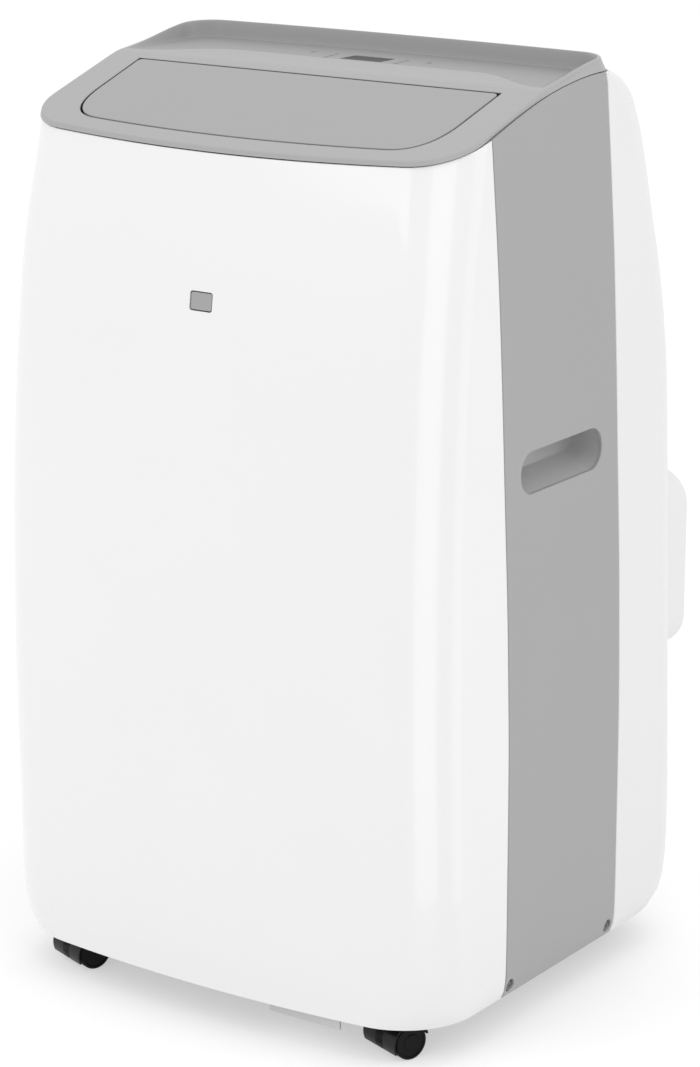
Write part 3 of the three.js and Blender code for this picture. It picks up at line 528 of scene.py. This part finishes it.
def seam_height(y_of, low=560.0, high=699.0):
    """The height at which a line up the surface, given as y against height, meets the seam."""
    low, high = np.full(np.shape(y_of(low)), low), np.full(np.shape(y_of(high)), high)
    for _ in range(30):
        middle = (low + high) / 2
        above = middle > seam_z(y_of(middle)) - SEAM
        high, low = np.where(above, middle, high), np.where(above, low, middle)
    return (low + high) / 2


def front_edge(z):
    """Y of the front panel's edge, beside the strip."""
    return STRIP_FRONT + strip_lean(z) - SEAM


def rear_edge(z):
    return STRIP_REAR + strip_lean(z) + SEAM


def front_edge_run(z):
    return end_run(front_edge(z) - front_y(z), half_width(z), front_corner(z), FRONT_CROWN)


def rear_edge_run(z):
    return end_run(rear_y(z) - rear_edge(z), half_width(z), rear_corner(z), REAR_CROWN)


def smooth_step(t):
    t = np.clip(t, 0, 1)
    return t * t * (3 - 2 * t)


def end_panel_loop(surface, edge_run, edge_y):
    """The front or rear panel's outline in (run, height). Behind the cover its edge climbs to meet it."""
    top_edge = float(seam_height(edge_y))
    reach, foot = float(edge_run(top_edge)), float(edge_run(BOTTOM))
    across = np.linspace(reach, -reach, 90)
    over = seam_height(lambda z: surface(across, z + 0 * across)[:, 1])
    over += (REAR_CREST - over) * smooth_step((surface(across, over)[:, 1] - CREST_FOOT) / 14)
    bottom = np.linspace(-foot, foot, 80)
    rise = np.linspace(BOTTOM, top_edge, 90)
    right = [(float(edge_run(z)), z) for z in rise[1:-1]]
    loop = [(u, BOTTOM) for u in bottom]
    loop += right
    loop += list(zip(across, over))
    loop += [(-u, z) for u, z in reversed(right)]
    return np.array(loop)


def receiver_loop(grow, corner):
    """The outline of the remote receiver's window, grown all round."""
    half_x, half_z = RECEIVER["half_width"] + grow, RECEIVER["half_height"] + grow
    return rounded_loop(-half_x, half_x, RECEIVER["z"] - half_z, RECEIVER["z"] + half_z, corner, step=3)


front_loop = end_panel_loop(front_surface, front_edge_run, front_edge)
front_runs = np.r_[-np.arange(165, 300, 3.2)[::-1], np.linspace(-162, 162, 33), np.arange(165, 300, 3.2)]
front_grid = grid_of(front_runs, np.arange(28, 700, 8.0))
front_made = sheet(front_surface, front_loop, [receiver_loop(0.7, 2.0)], front_grid, roll=[1.0, 0.4],
                   wall=3.2, outward=(0, -1, 0))
sheet_piece("front_shell", front_made, "front_white", "cabinet", ["front_panel"])


def sunk(surface, depth):
    """The same surface, this much deeper."""
    return lambda u, v: surface(u, v) - slopes(surface, u, v)[2] * depth


receiver_grid = grid_of(np.linspace(-8, 8, 7), [RECEIVER["z"]])
lens_made = sheet(sunk(front_surface, 0.5), receiver_loop(0, 1.6), [], receiver_grid, roll=0.6, wall=2.5,
                  outward=(0, -1, 0))
sheet_piece("receiver_lens", lens_made, "receiver", "cabinet", ["remote_receiver_window"])
bed_made = sheet(sunk(front_surface, 1.6), receiver_loop(1.0, 2.2), [], receiver_grid, roll=0.3, wall=1.5,
                 outward=(0, -1, 0))
sheet_piece("receiver_bed", bed_made, "gasket", "cabinet")

# ---- side strips and grips

GRIP = {"y": -24.5, "z": 417.5, "length": 111, "height": 31}
SCREW_Z = 33
SCREW_YS = (-87, 52.6)
SCREW_SUNK = 0.9


def side_loop():
    low, high = STRIP_FRONT + SEAM, STRIP_REAR - SEAM
    top_front = float(seam_height(lambda z: low + strip_lean(z)))
    top_rear = float(seam_height(lambda z: high + strip_lean(z)))
    across = np.linspace(high, low, 50)
    over = seam_height(lambda z: across + strip_lean(z))
    loop = [(u, BOTTOM) for u in np.linspace(low, high, 40)]
    loop += [(high, z) for z in np.linspace(BOTTOM, top_rear, 90)[1:-1]]
    loop += list(zip(across, over))
    loop += [(low, z) for z in np.linspace(top_front, BOTTOM, 90)[1:-1]]
    return np.array(loop)


def leaned(loop):
    """A loop in (y, z) as the side surface's (u, z)."""
    return np.stack([loop[:, 0] - strip_lean(loop[:, 1]), loop[:, 1]], -1)


def grip_loop():
    half_length, half_height = GRIP["length"] / 2, GRIP["height"] / 2
    y, z = GRIP["y"], GRIP["z"]
    return rounded_loop(y - half_length, y + half_length, z - half_height, z + half_height, half_height - 0.3,
                        step=4, arc=14)


screw_loops = [leaned(circle_loop(y, SCREW_Z, 5.0, 24)) for y in SCREW_YS]
side_made = sheet(side_surface, side_loop(), [leaned(grip_loop()), *screw_loops],
                  grid_of(np.linspace(-92, 58, 26), np.arange(30, 700, 7.0)), roll=0.9, wall=3.2,
                  outward=(1, 0, 0))
sheet_piece("side_strip_right", side_made, "side_grey", "cabinet", ["side_panel_right"])
sheet_piece("side_strip_left", side_made, "side_grey", "cabinet", ["side_panel_left"], mirror=True)


def resampled(loop, count):
    """A closed loop's outline as this many points, spaced evenly along it."""
    points = np.array(loop + [loop[0]])
    steps = np.r_[0, np.cumsum(np.linalg.norm(np.diff(points, axis=0), axis=1))]
    at = np.linspace(0, steps[-1], count + 1)[:-1]
    return np.stack([np.interp(at, steps, points[:, k]) for k in range(3)], -1)


def grip_cup():
    """The pocket behind a grip slot: its floor climbs inwards to a flat back wall."""
    mouth = float(half_width(GRIP["z"])) - 2.6
    y, z = GRIP["y"], GRIP["z"]
    half_length, low, high = GRIP["length"] / 2, -GRIP["height"] / 2, GRIP["height"] / 2
    climb = 9.0
    # each outline's depth, how much shorter it is at each end, how far its floor has climbed, its corners
    stations = [
        (0.0, 0.0, 0.0, 15.2),
        (1.0, -0.3, 0.2, 15.2),
        (9.0, -0.3, 0.34 * climb, 13.6),
        (17.0, -0.3, 0.68 * climb, 11.8),
        (24.0, 0.2, 0.96 * climb, 10.0),
        (24.8, 0.6, climb + 0.3, 9.6),
        (25.2, 1.5, climb + 1.2, 8.6),
        (25.3, 3.0, climb + 3.0, 7.4),
    ]
    count = 140
    rings = []
    for depth, shorter, rise, corner in stations:
        roof = high + 0.6 - max(0.0, shorter)
        loop = rounded_loop(y - half_length + shorter, y + half_length - shorter, z + low + rise, z + roof,
                            min(corner, (roof - low - rise) / 2 - 0.3), step=4, arc=14)
        rings.append(resampled([(mouth - depth, a, b) for a, b in loop], count))
    verts = [p for ring in rings for p in ring]
    faces = [face[::-1] for face in ring_faces(count, len(rings))]
    last = (len(rings) - 1) * count
    faces.append(tuple(last + m for m in range(count)))
    return verts, faces


cup = grip_cup()
for name, made in (("right", cup), ("left", flipped(cup))):
    # the pocket's lighter grey is painted light against the shade inside it
    collect(f"grip_cup_{name}", made[0], made[1], "cup_painted_light_grey", "cabinet", [f"grip_pocket_{name}"], sharp=50)


def screw_part():
    """A pan-head screw along +X, its head's top at zero, with a thin black cross on its top: painted shade
    standing in for the cross recess.
    """
    head = [(1.8, -9), (1.8, -1.6), (3.9, -1.6), (4.1, -1.2), (3.9, -0.6), (3.0, -0.2), (1.4, 0), (0, 0)]
    long, thin = 1.9, 0.35
    cross = [rolled_box(-0.6, 0.03, -long, long, -thin, thin, 0.12, 2),
             rolled_box(-0.6, 0.03, -thin, thin, -long, long, 0.12, 2)]
    return lathe(head, 32, axis="x"), merged(cross)


for side, sign in (("right", 1), ("left", -1)):
    for end, y in zip(("front", "rear"), SCREW_YS):
        reach = float(half_width(SCREW_Z)) - SCREW_SUNK
        turn = Matrix.Translation((sign * reach, y, SCREW_Z)) @ Matrix.Rotation(0.5 + y, 4, "X")
        head, cross = screw_part() if sign > 0 else map(flipped, screw_part())
        collect(f"strip_screw_{side}_{end}", *moved(head, turn), "steel", "cabinet",
                [f"side_screw_{side}_{end}"])
        # the black cross is painted shade in the screw's cross recess
        collect(f"strip_screw_cross_{side}_{end}", *moved(cross, turn), "gasket", "cabinet",
                slot="screw_steel")

# ---- rear panel

PLINTH = {"half": 172, "bottom": 213, "top": 357, "corner": 27, "back": 208.5}
PORT_Z = 285
PANEL_HOLE = 67  # half the square opening in the rear panel, behind the plinth
PLINTH_HOLE = 66  # radius
PLINTH_BORE_END = 176  # Y
UPPER_WINDOW = (-150, 150, 400, 606, 8)
LOWER_WINDOW = (-150, 105, 62, 196, 8)
DRAINS = {"lower": (60, 46), "upper": (135, 372)}
GLAND = (132, 78)
SLOT_HEIGHT = 8
SLOT_PITCH = 14
SLOT_MARGIN = 12


def on_rear(loop):
    """A loop in (x, z), seen from the front, as the rear surface's (run, z)."""
    return np.stack([REAR_CROWN * np.arcsin(loop[:, 0] / REAR_CROWN), loop[:, 1]], -1)


def window_loop(window, grow):
    x0, x1, z0, z1, corner = window
    return on_rear(rounded_loop(x0 - grow, x1 + grow, z0 - grow, z1 + grow, corner + grow, step=6))


rear_loop = end_panel_loop(rear_surface, rear_edge_run, rear_edge)
port_hole = rounded_loop(-PANEL_HOLE, PANEL_HOLE, PORT_Z - PANEL_HOLE, PORT_Z + PANEL_HOLE, 2)
rear_holes = [window_loop(UPPER_WINDOW, 1), window_loop(LOWER_WINDOW, 1), on_rear(port_hole)]
rear_holes += [on_rear(circle_loop(x, z, 9, 28)) for x, z in [*DRAINS.values(), GLAND]]
rear_runs = np.r_[-np.arange(160, 300, 3.5)[::-1], np.linspace(-155, 155, 30), np.arange(160, 300, 3.5)]
rear_levels = np.r_[np.arange(28, 640, 9.0), np.arange(642, 690, 3.0)]
rear_made = sheet(rear_surface, rear_loop, rear_holes, grid_of(rear_runs, rear_levels), roll=1.0, wall=3.2,
                  outward=(0, 1, 0))
sheet_piece("rear_shell", rear_made, "rear_white", "cabinet", ["rear_panel"])

plinth_loop = rounded_loop(-PLINTH["half"], PLINTH["half"], PLINTH["bottom"], PLINTH["top"],
                           PLINTH["corner"], 8, 14)
plinth_hole = circle_loop(0, PORT_Z, PLINTH_HOLE, 96)
plinth_grid = grid_of(np.linspace(-160, 160, 30), np.arange(220, 355, 10))


def plinth_face(u, v):
    return np.stack([u, PLINTH["back"] + 0 * u, v], -1)


plinth_made = sheet(plinth_face, plinth_loop, [plinth_hole], plinth_grid, roll=3.5, wall=52, steps=6,
                    outward=(0, 1, 0))
plinth_verts = plinth_made[0]
around_port = np.hypot(plinth_verts[:, 0], plinth_verts[:, 2] - PORT_Z) < PLINTH_HOLE + 0.5
plinth_verts[around_port & (plinth_verts[:, 1] < PLINTH_BORE_END), 1] = PLINTH_BORE_END
sheet_piece("rear_plinth", plinth_made, "rear_white", "cabinet", ["exhaust_plinth"])


def grille(window):
    """A filter cover cut with two columns of level slots."""
    x0, x1, z0, z1, corner = window
    count = math.floor((z1 - z0 - 2 * SLOT_MARGIN + SLOT_PITCH - SLOT_HEIGHT) / SLOT_PITCH)
    start = (z0 + z1) / 2 - ((count - 1) * SLOT_PITCH + SLOT_HEIGHT) / 2
    slots = []
    for i in range(count):
        z = start + i * SLOT_PITCH
        for a, b in ((x0 + SLOT_MARGIN, -3), (3, x1 - SLOT_MARGIN)):
            slots.append(on_rear(rounded_loop(a, b, z, z + SLOT_HEIGHT, 3.9, step=8, arc=5)))
    between = start + (np.arange(-1, count) + 0.5) * SLOT_PITCH + SLOT_HEIGHT / 2
    return sheet(rear_surface, window_loop(window, 0), slots, grid_of(np.linspace(x0, x1, 36), between),
                 roll=1.1, wall=3.0, steps=3, outward=(0, 1, 0))


for level, window in (("upper", UPPER_WINDOW), ("lower", LOWER_WINDOW)):
    sheet_piece(f"{level}_grille", grille(window), "rear_white", f"{level}_filter",
                [f"{level}_filter_grille"])

collar_profile = [(60, 178), (65.6, 178), (65.8, 196), (68.2, 196.4), (68.2, 204.2), (67.6, 204.8),
                  (65.6, 205.2), (65.6, 206.8), (65.2, 207.8), (64.2, 208.2), (61.6, 208.2), (60.6, 207.8),
                  (60, 206.6), (60, 178)]
collect("port_collar", *lathe(collar_profile, 96, (0, 0, PORT_Z)), "collar", "cabinet", ["exhaust_collar"])

plug_profile = [(0, -11), (5.4, -11), (6, -10.2), (6, -3), (8.4, -3), (8.4, 1.6), (7.8, 2.3), (6.8, 2.6),
                (0, 2.6)]
for level, (x, z) in DRAINS.items():
    back = float(rear_y(z))
    turned_plug = lathe(plug_profile, 40, (x, back, z))
    tab = rolled_box(x - 7, x + 7, back + 1.8, back + 6, z - 1.5, z + 1.5, 0.6)
    collect(f"{level}_plug", *merged([turned_plug, tab]), "rubber", f"{level}_drain", [f"{level}_drain_plug"])

gland_profile = [(3.6, -8), (8, -8), (8, 0.2), (10.8, 0.2), (11, 0.6), (10.4, 2.6), (9.6, 3.5), (6.0, 4.9),
                 (4.6, 5), (3.6, 4.4), (3.6, -8)]
gland_part = lathe(gland_profile, 40, (GLAND[0], float(rear_y(GLAND[1])), GLAND[1]))
collect("cord_grommet", *gland_part, "rubber", "cabinet", ["cord_gland"])

# ---- top cover

COVER = (189.5, -173.2, 64.5, 44, 30)  # half width, front, rear, front corner, rear corner
DISH = (183.0, 57.5, 24.0)  # half width, rear, rear corner
RIM_START = -46  # Y, behind which the rim leaves the outlet's slope
DISH_FLOOR = 687.0
DISH_BEND = 104  # how far from the middle the dish's front edge starts to come forward
DISH_REACH = 38  # how far forward its ends come
DISPLAY = {"half": 18.0, "front": 3.0, "rear": 24.0}


def plan_end(half, corner, crown, steps):
    """The end of a plan outline from left to right, as (x, distance behind its middle)."""
    meet = end_shape(half, corner, crown)[1]
    reach = crown * meet + corner * (math.pi / 2 - meet)
    return np.stack(end_point(np.linspace(-reach, reach, steps), half, corner, crown), -1)


def plan_loop(half, front, rear, front_radius, rear_radius, steps=160, step=4.0):
    """A plan outline, anticlockwise from the left front, sampled evenly at each end."""
    ahead = plan_end(half, front_radius, FRONT_CROWN, steps) + [0, front]
    behind = plan_end(half, rear_radius, REAR_CROWN, steps)[::-1] * [1, -1] + [0, rear]
    start, end = ahead[-1, 1], behind[0, 1]
    side_ys = np.linspace(start, end, round((end - start) / step) + 1)[1:-1]
    right = np.stack([np.full(len(side_ys), half), side_ys], -1)
    return np.concatenate([ahead, right, behind, right[::-1] * [-1, 1]])


def flap_loop(inset, cut=0.0, step=4.0):
    """The flap's outline in the outlet plane's own (x, v), anticlockwise. Its rear corners can be cut off."""
    rear = (160.4 - inset, 0.8 - inset)
    side = (159.3 - inset, -52)
    nose = (126, -100 + inset)
    corner = (158.5 - inset, -97 + inset)
    crown = (0, nose[1] - 12.4)

    def curve(a, b, c, count):
        t = np.linspace(0, 1, count + 1)[:-1, None]
        a, b, c = map(np.array, (a, b, c))
        return (1 - t) ** 2 * a + 2 * t * (1 - t) * b + t**2 * c

    def line(a, b):
        count = max(2, int(math.dist(a, b) / step))
        t = np.linspace(0, 1, count + 1)[:-1, None]
        return (1 - t) * np.array(a) + t * np.array(b)

    def left(p):
        return (-p[0], p[1])

    below, beside = (rear[0], rear[1] - cut), (rear[0] - cut, rear[1])
    turned_corner = [curve(below, rear, beside, 6)] if cut else []
    other_corner = [curve(left(beside), left(rear), left(below), 6)] if cut else []
    return np.concatenate([
        line(left(below), left(side)), curve(left(side), left(corner), left(nose), 22),
        curve(left(nose), crown, nose, 60), curve(nose, corner, side, 22), line(side, below),
        *turned_corner, line(beside, left(beside)), *other_corner,
    ])


def rear_bulge(x):
    """How far the cover's rear edge has come forward at this distance from the middle."""
    return x**2 / (2 * REAR_CROWN)


def dish_distance(x, y):
    """How far inside the dish's wall a point is: negative outside it."""
    half, rear, corner = DISH
    qx, qy = np.abs(x) - (half - corner), y + rear_bulge(x) - (rear - corner)
    outside = np.hypot(np.maximum(qx, 0), np.maximum(qy, 0)) + np.minimum(np.maximum(qx, qy), 0)
    return corner - outside


def cover_height(x, y):
    """The cover's top: a slope in front, then a dish with a raised rim round it."""
    slope = outlet_z(y)
    rim = np.where(y < RIM_START, slope, rim_z(y))
    dip = 0.6 * np.exp(-((y + 34) / 14) ** 2)  # between the dish's ends and the flap
    floor = np.minimum(rim, DISH_FLOOR - dip)
    depth = dish_distance(x, y)
    wall = smooth_step((depth + 0.4) / 5.0)
    start = smooth_step((y + 50) / 9.0)
    inner = rim * (1 - wall) + floor * wall
    return slope * (1 - start) + inner * start


def cover_surface(x, y):
    return np.stack([x, y, cover_height(x, y)], -1)


def dish_loop(inset):
    """The dish's outline: its front edge runs level behind the flap, and its ends come forward."""
    half, rear, corner = DISH
    half, rear = half + 0.6 - inset, rear + 0.6 - inset
    turn = np.linspace(0, math.pi / 2, 14)
    right_rear = np.stack([half - corner + corner * np.cos(turn), rear - corner + corner * np.sin(turn)], -1)
    right_rear[:, 1] -= rear_bulge(right_rear[:, 0])
    side = np.stack([np.full(16, half), np.linspace(-DISH_REACH, right_rear[0, 1], 17)[:-1]], -1)
    t = np.linspace(0, 1, 26)[:-1]
    ahead = np.stack([DISH_BEND + (half - DISH_BEND) * t, inset - DISH_REACH * smooth_step(t)], -1)
    middle = np.stack([np.linspace(0, DISH_BEND, 27)[1:-1], np.full(25, inset)], -1)
    back = np.stack([np.linspace(half - corner, 0, 40)[1:-1], np.full(38, rear)], -1)
    back[:, 1] -= rear_bulge(back[:, 0])
    right = np.concatenate([middle, ahead, side, right_rear, back])
    left = right[::-1] * [-1, 1]
    return np.concatenate([[(0, inset)], right, [(0, rear)], left])


def display_loop(grow, corner, step):
    half = DISPLAY["half"] + grow
    return rounded_loop(-half, half, DISPLAY["front"] - grow, DISPLAY["rear"] + grow, corner, step)


cover_outline = plan_loop(*COVER)
mouth_loop = outlet_surface(*flap_loop(0.0).T)[:, :2]
towards_rear = smooth_step((cover_outline[:, 1] + 60) / 60)
# the cover's band leans in by cover_lean, its top edge is rolled, and along the sides its foot is tucked in
cover_lean = 0.3 + 3.0 * towards_rear
cover_roll = 1.5 + 1.0 * towards_rear
cover_foot = 0.7 * (1 - towards_rear) * smooth_step((cover_outline[:, 1] + 150) / 40)
cover_top = offset_loop(cover_outline, cover_lean[:, None])
xs = np.r_[-np.arange(152, 192, 1.6)[::-1], np.linspace(-150, 150, 60), np.arange(152, 192, 1.6)]
ys = np.r_[np.arange(-170, -60, 5.0), np.arange(-60, 0, 2.0), np.arange(0, 64, 1.6)]
cover_made = sheet(cover_surface, cover_top, [mouth_loop, dish_loop(0.0)], grid_of(xs, ys),
                   roll=[cover_roll, 0.5, 0.4], wall=3.0, steps=5)


def drop_band(made):
    """Takes the turned-in edge of the cover's skin down to the seam instead, as its leaning band."""
    verts, faces, normals = made
    count = len(cover_outline)
    low = seam_z(cover_outline[:, 1]) + SEAM
    height = verts[count:2 * count, 2] - low
    verts[:count] = np.column_stack([offset_loop(cover_outline, cover_foot[:, None]), low])
    for first in (0, count):
        normals[first:first + count, 2] = (cover_lean - cover_foot) / np.maximum(height, 2)
    normals[:2 * count] /= np.linalg.norm(normals[:2 * count], axis=1, keepdims=True)
    return verts, faces, normals


sheet_piece("cover_rim", drop_band(cover_made), "cover_grey", "cabinet", ["top_cover"])
dish_grid = grid_of(xs, ys)
dish_grid = dish_grid[dish_distance(*dish_grid.T) > 6.0]
wall_steps = (0.95, 1.6, 2.3, 3.0, 3.7, 4.4, 5.2, 6.0)
wall_points = np.concatenate([offset_loop(dish_loop(0.25), distance) for distance in wall_steps])
wall_points = wall_points[wall_points[:, 1] > -30]
dish_made = sheet(cover_surface, dish_loop(0.25), [display_loop(0.4, 1.2, 4)],
                  np.concatenate([dish_grid, wall_points]), roll=[0.25, 0.4], wall=2.5, steps=3)
# the dish floor's darker grey is painted shade
sheet_piece("control_dish", dish_made, "dish_painted_shade_grey", "cabinet")


def display_surface(x, y):
    return np.stack([x, y, np.full(np.shape(x), DISH_FLOOR - 0.25)], -1)


display_grid = grid_of(np.linspace(-16, 16, 9), np.linspace(5, 22, 5))
display_made = sheet(display_surface, display_loop(0, 1.0, 3), [], display_grid, roll=0.5, wall=2.0)
sheet_piece("display_glass", display_made, "display", "cabinet", ["display_window"])

ICONS = [(-54, 22), (-30, 4), (-31, 12), (-33, 22), (32, 5), (31, 13), (31, 20), (51, 20)]


def icons():
    """Small plain touch marks printed on the dish floor: a ring and a short bar in front of it."""
    parts = []
    for x, y in ICONS:
        z = float(cover_height(np.array(x), np.array(y)))
        ring = [(0.8, z - 0.2), (0.8, z + 0.04), (1.5, z + 0.04), (1.5, z - 0.2), (0.8, z - 0.2)]
        parts.append(lathe(ring[::-1], 20, (x, y, 0), "z"))
        parts.append(rolled_box(x - 1.6, x + 1.6, y - 3.4, y - 2.6, z - 0.2, z + 0.05, 0.04, 2))
    return merged(parts)


collect("touch_marks", *icons(), "print", "cabinet")

# ---- outlet flap

FLAP_GAP = 1.8
FLAP_CUT = 4.2  # how much of its rear corners is cut off
FLAP_THICK = 3.0
FLAP_PIVOT = (-20, -8)
OUTLET = Matrix.Translation((0, *OUTLET_ORIGIN)) @ Matrix.Rotation(OUTLET_TILT, 4, "X")

flap_outline = flap_loop(FLAP_GAP, FLAP_CUT)
flap_grid = grid_of(np.linspace(-150, 150, 40), np.arange(-104, 0, 8.0))
flap_made = sheet(outlet_surface, flap_outline, [], flap_grid, roll=0.5, wall=FLAP_THICK)
sheet_piece("flap_lid", flap_made, "flap_grey", "flap", ["outlet_flap"])
under_made = sheet(sunk(outlet_surface, FLAP_THICK), flap_outline, [], flap_grid, roll=0.5, wall=0.5,
                   outward=(0, 0, -1))
sheet_piece("flap_under", under_made, "duct_grey", "flap")


def flap_lugs():
    v, w = FLAP_PIVOT
    lug = rolled_box(146, 150, v - 6, v + 6, w - 4, -FLAP_THICK + 0.2, 0.8)
    stub = lathe([(0, 149), (2.2, 149), (2.2, 164.0), (1.8, 164.5), (0, 164.5)], 20, (0, v, w), "x")
    both = merged([lug, stub])
    return moved(merged([both, flipped(both)]), OUTLET)


collect("flap_lugs", *flap_lugs(), "duct_grey", "flap")


def mouth_shade_lining():
    """A thin black lining round the mouth, just below its rolled edge: painted shade in the gap round the
    flap.
    """
    outer = flap_loop(0.03)
    inner = offset_loop(outer, 0.42)
    rows = [(outer, -0.55), (inner, -0.7), (inner, -2.2), (outer, -2.4)]
    verts = [(x, v, w) for loop, w in rows for x, v in loop]
    faces = [tuple(i % len(verts) for i in face) for face in ring_faces(len(outer), len(rows) + 1)]
    return moved((verts, faces), OUTLET)


# the mouth's black lining is painted shade in the gap round the flap
collect("mouth_shade_lining", *mouth_shade_lining(), "gasket", "cabinet", slot="rubber_black")

# ---- base bracket and castors


def bracket():
    """An angle under the front edge: a standing leg and a level one."""
    x0, x1, front, thick = 53, 116, -189, 2
    return merged([rolled_box(x0, x1, front, front + thick, 14, 27.4, 0.5),
                   rolled_box(x0, x1, front, -170, 25.6, 27.5, 0.5)])


collect("front_bracket", *bracket(), "bracket", "cabinet", ["base_bracket"])

CASTOR_TURN = math.radians(-20)
CASTORS = {
    "front_left": (-146, -172), "front_right": (146, -172),
    "rear_left": (-112, 128), "rear_right": (112, 128),
}
WHEEL_RADIUS = 13.2
WHEEL_END = 19.5  # half the width over both treads
TRAIL = 8
GUARD_INNER = 14.2
GUARD_OUTER = 15.6
FRONT_GUARD = (130, 206)  # angles round the axle
REAR_GUARD = (15, 50)


def castor_wheels():
    """Two treads on one axle along X."""
    r = WHEEL_RADIUS
    tread = [(3, 5.2), (r - 0.6, 5.2), (r, 5.8), (r, 18.5), (r - 0.3, 19.1), (r - 1.0, WHEEL_END),
             (r - 2.0, WHEEL_END), (r - 2.4, 18.8), (6.4, 18.8), (5.8, 19.4), (0, WHEEL_END)]
    right = lathe(tread, 48, axis="x")
    axle = lathe([(0, -6), (3, -6), (3, 6), (0, 6)], 24, axis="x")
    return merged([right, flipped(right), axle])


def round_axle(radius, start, end, steps):
    """Points round the axle in (y, z), between two angles in degrees."""
    turn = np.radians(np.linspace(start, end, steps + 1))
    return np.stack([TRAIL + radius * np.cos(turn), WHEEL_RADIUS + radius * np.sin(turn)], -1)


def guard(span, steps):
    """A thin cover over both treads between two angles."""
    start, end = span
    outer, inner = round_axle(GUARD_OUTER, start, end, steps), round_axle(GUARD_INNER, end, start, steps)
    return slab(np.concatenate([outer, inner]), WHEEL_END)


def castor_hood():
    """A web between the two treads with a guard over each side of them, and the plate that takes the stem."""
    web = np.concatenate([
        [(14, 28.5)], [(-2, 28.5)], round_axle(GUARD_OUTER, *FRONT_GUARD, 14),
        round_axle(WHEEL_RADIUS - 1, FRONT_GUARD[1] + 5, 360, 22), round_axle(GUARD_OUTER, *REAR_GUARD, 8),
    ])
    plate = lathe([(0, 27.2), (14.2, 27.2), (15, 27.8), (15, 28.8), (14.4, 29.5), (6, 29.5), (5, 30.2),
                   (5, 43), (4.4, 43.5), (0, 43.5)], 48, axis="z")
    return merged([slab(web, 4.8), plate, guard(FRONT_GUARD, 14), guard(REAR_GUARD, 8)])


for name, (x, y) in CASTORS.items():
    turn = Matrix.Translation((x, y, -LIFT)) @ Matrix.Rotation(CASTOR_TURN, 4, "Z")
    collect(f"castor_hood_{name}", *moved(castor_hood(), turn), "castor", f"castor_{name}",
            [f"castor_frame_{name}"])
    at_axle = turn @ Matrix.Translation((0, TRAIL, WHEEL_RADIUS))
    collect(f"castor_treads_{name}", *moved(castor_wheels(), at_axle), "tread", f"castor_wheel_{name}",
            [f"castor_wheels_{name}"])

# ---- carried-over solids

CARRIED = {
    "board": ["control_board"],
    "black": ["base_pan", "middle_tray", "condenser_fan_housing", "exhaust_duct"],
    "duct_grey": ["outlet_duct", "vane_link_bar", "evaporator_fan_housing"],
    "wheel": ["flap_motor", "evaporator_fan_wheel", "condenser_fan_wheel"],
    "zinc": ["vane_motor", "evaporator_fan_motor", "condenser_fan_motor", "electrical_box"],
    "net": ["upper_filter_net", "lower_filter_net"],
    "fins": ["evaporator_coil", "condenser_coil"],
    "compressor": ["compressor", "accumulator"],
    "copper": ["discharge_pipe", "suction_pipe"],
}
CARRIED["duct_grey"] += [f"steering_vane_{i}" for i in range(1, 7)]
for look, nodes in CARRIED.items():
    for node in nodes:
        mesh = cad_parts[node].data
        mesh.materials.clear()
        mesh.materials.append(looks[look])

# ---- stage, light and camera


def floor():
    """A wide white floor that also glows a little, so that it is as bright as the background."""
    mesh = bpy.data.meshes.new("studio_floor")
    reach = 30.0
    corners = [(-reach, -reach, 0), (reach, -reach, 0), (reach, reach, 0), (-reach, reach, 0)]
    mesh.from_pydata(corners, [], [(0, 1, 2, 3)])
    piece = bpy.data.objects.new("studio_floor", mesh)
    bpy.context.scene.collection.objects.link(piece)
    paint = material("studio_floor", grey(0.5), 0.9, grain=0.05, mottle=0.004, uneven=0.02, specular=0.0)
    shader = next(n for n in paint.node_tree.nodes if n.type == "BSDF_PRINCIPLED")
    shader.inputs["Emission Color"].default_value = (1, 1, 1, 1)
    shader.inputs["Emission Strength"].default_value = 0.5
    piece.data.materials.append(paint)


floor()


def area_light(name, place, aim, width, height, power):
    light = bpy.data.lights.new(name, "AREA")
    light.shape = "RECTANGLE"
    light.size = width
    light.size_y = height
    light.energy = power
    lamp = bpy.data.objects.new(name, light)
    lamp.location = place
    lamp.rotation_euler = (Vector(aim) - Vector(place)).to_track_quat("-Z", "Y").to_euler()
    bpy.context.scene.collection.objects.link(lamp)
    return lamp


area_light("key_light", (-0.9, -3.2, 2.4), (0, 0, 0.35), 2.4, 2.4, 18)
area_light("top_light", (0.2, 0.1, 3.0), (0, 0, 0.3), 3.0, 3.0, 8)
area_light("side_light", (2.2, 0.4, 1.9), (0.2, 0, 0.6), 1.2, 1.2, 7)


def softbox(name, place, aim, width, height, power):
    """A light that is only seen in glossy surfaces, as the long highlights on the front panel's corner."""
    lamp = area_light(name, place, aim, width, height, power)
    lamp.visible_camera = False
    lamp.visible_diffuse = False


softbox("softbox_near", (0.431, -0.337, 0.45), (0.185, -0.165, 0.45), 0.242, 0.9, 0.5)
softbox("softbox_side", (0.449, 0.009, 0.45), (0.195, -0.15, 0.45), 0.14, 0.9, 0.15)

world = bpy.data.worlds.new("studio")
world.use_nodes = True
background = world.node_tree.nodes["Background"]
background.inputs["Color"].default_value = (1, 1, 1, 1)
background.inputs["Strength"].default_value = 1.0
bpy.context.scene.world = world

camera_data = bpy.data.cameras.new("camera")
camera_data.lens = 113.88
camera_data.sensor_width = 36
camera_data.clip_end = 100
camera = bpy.data.objects.new("camera", camera_data)
camera.location = (1.41225, -2.03956, 1.02552)
camera.rotation_euler = (math.radians(90 - 15.69), 0, math.radians(34.82))
bpy.context.scene.collection.objects.link(camera)
bpy.context.scene.camera = camera
bpy.context.scene.view_settings.view_transform = "Standard"
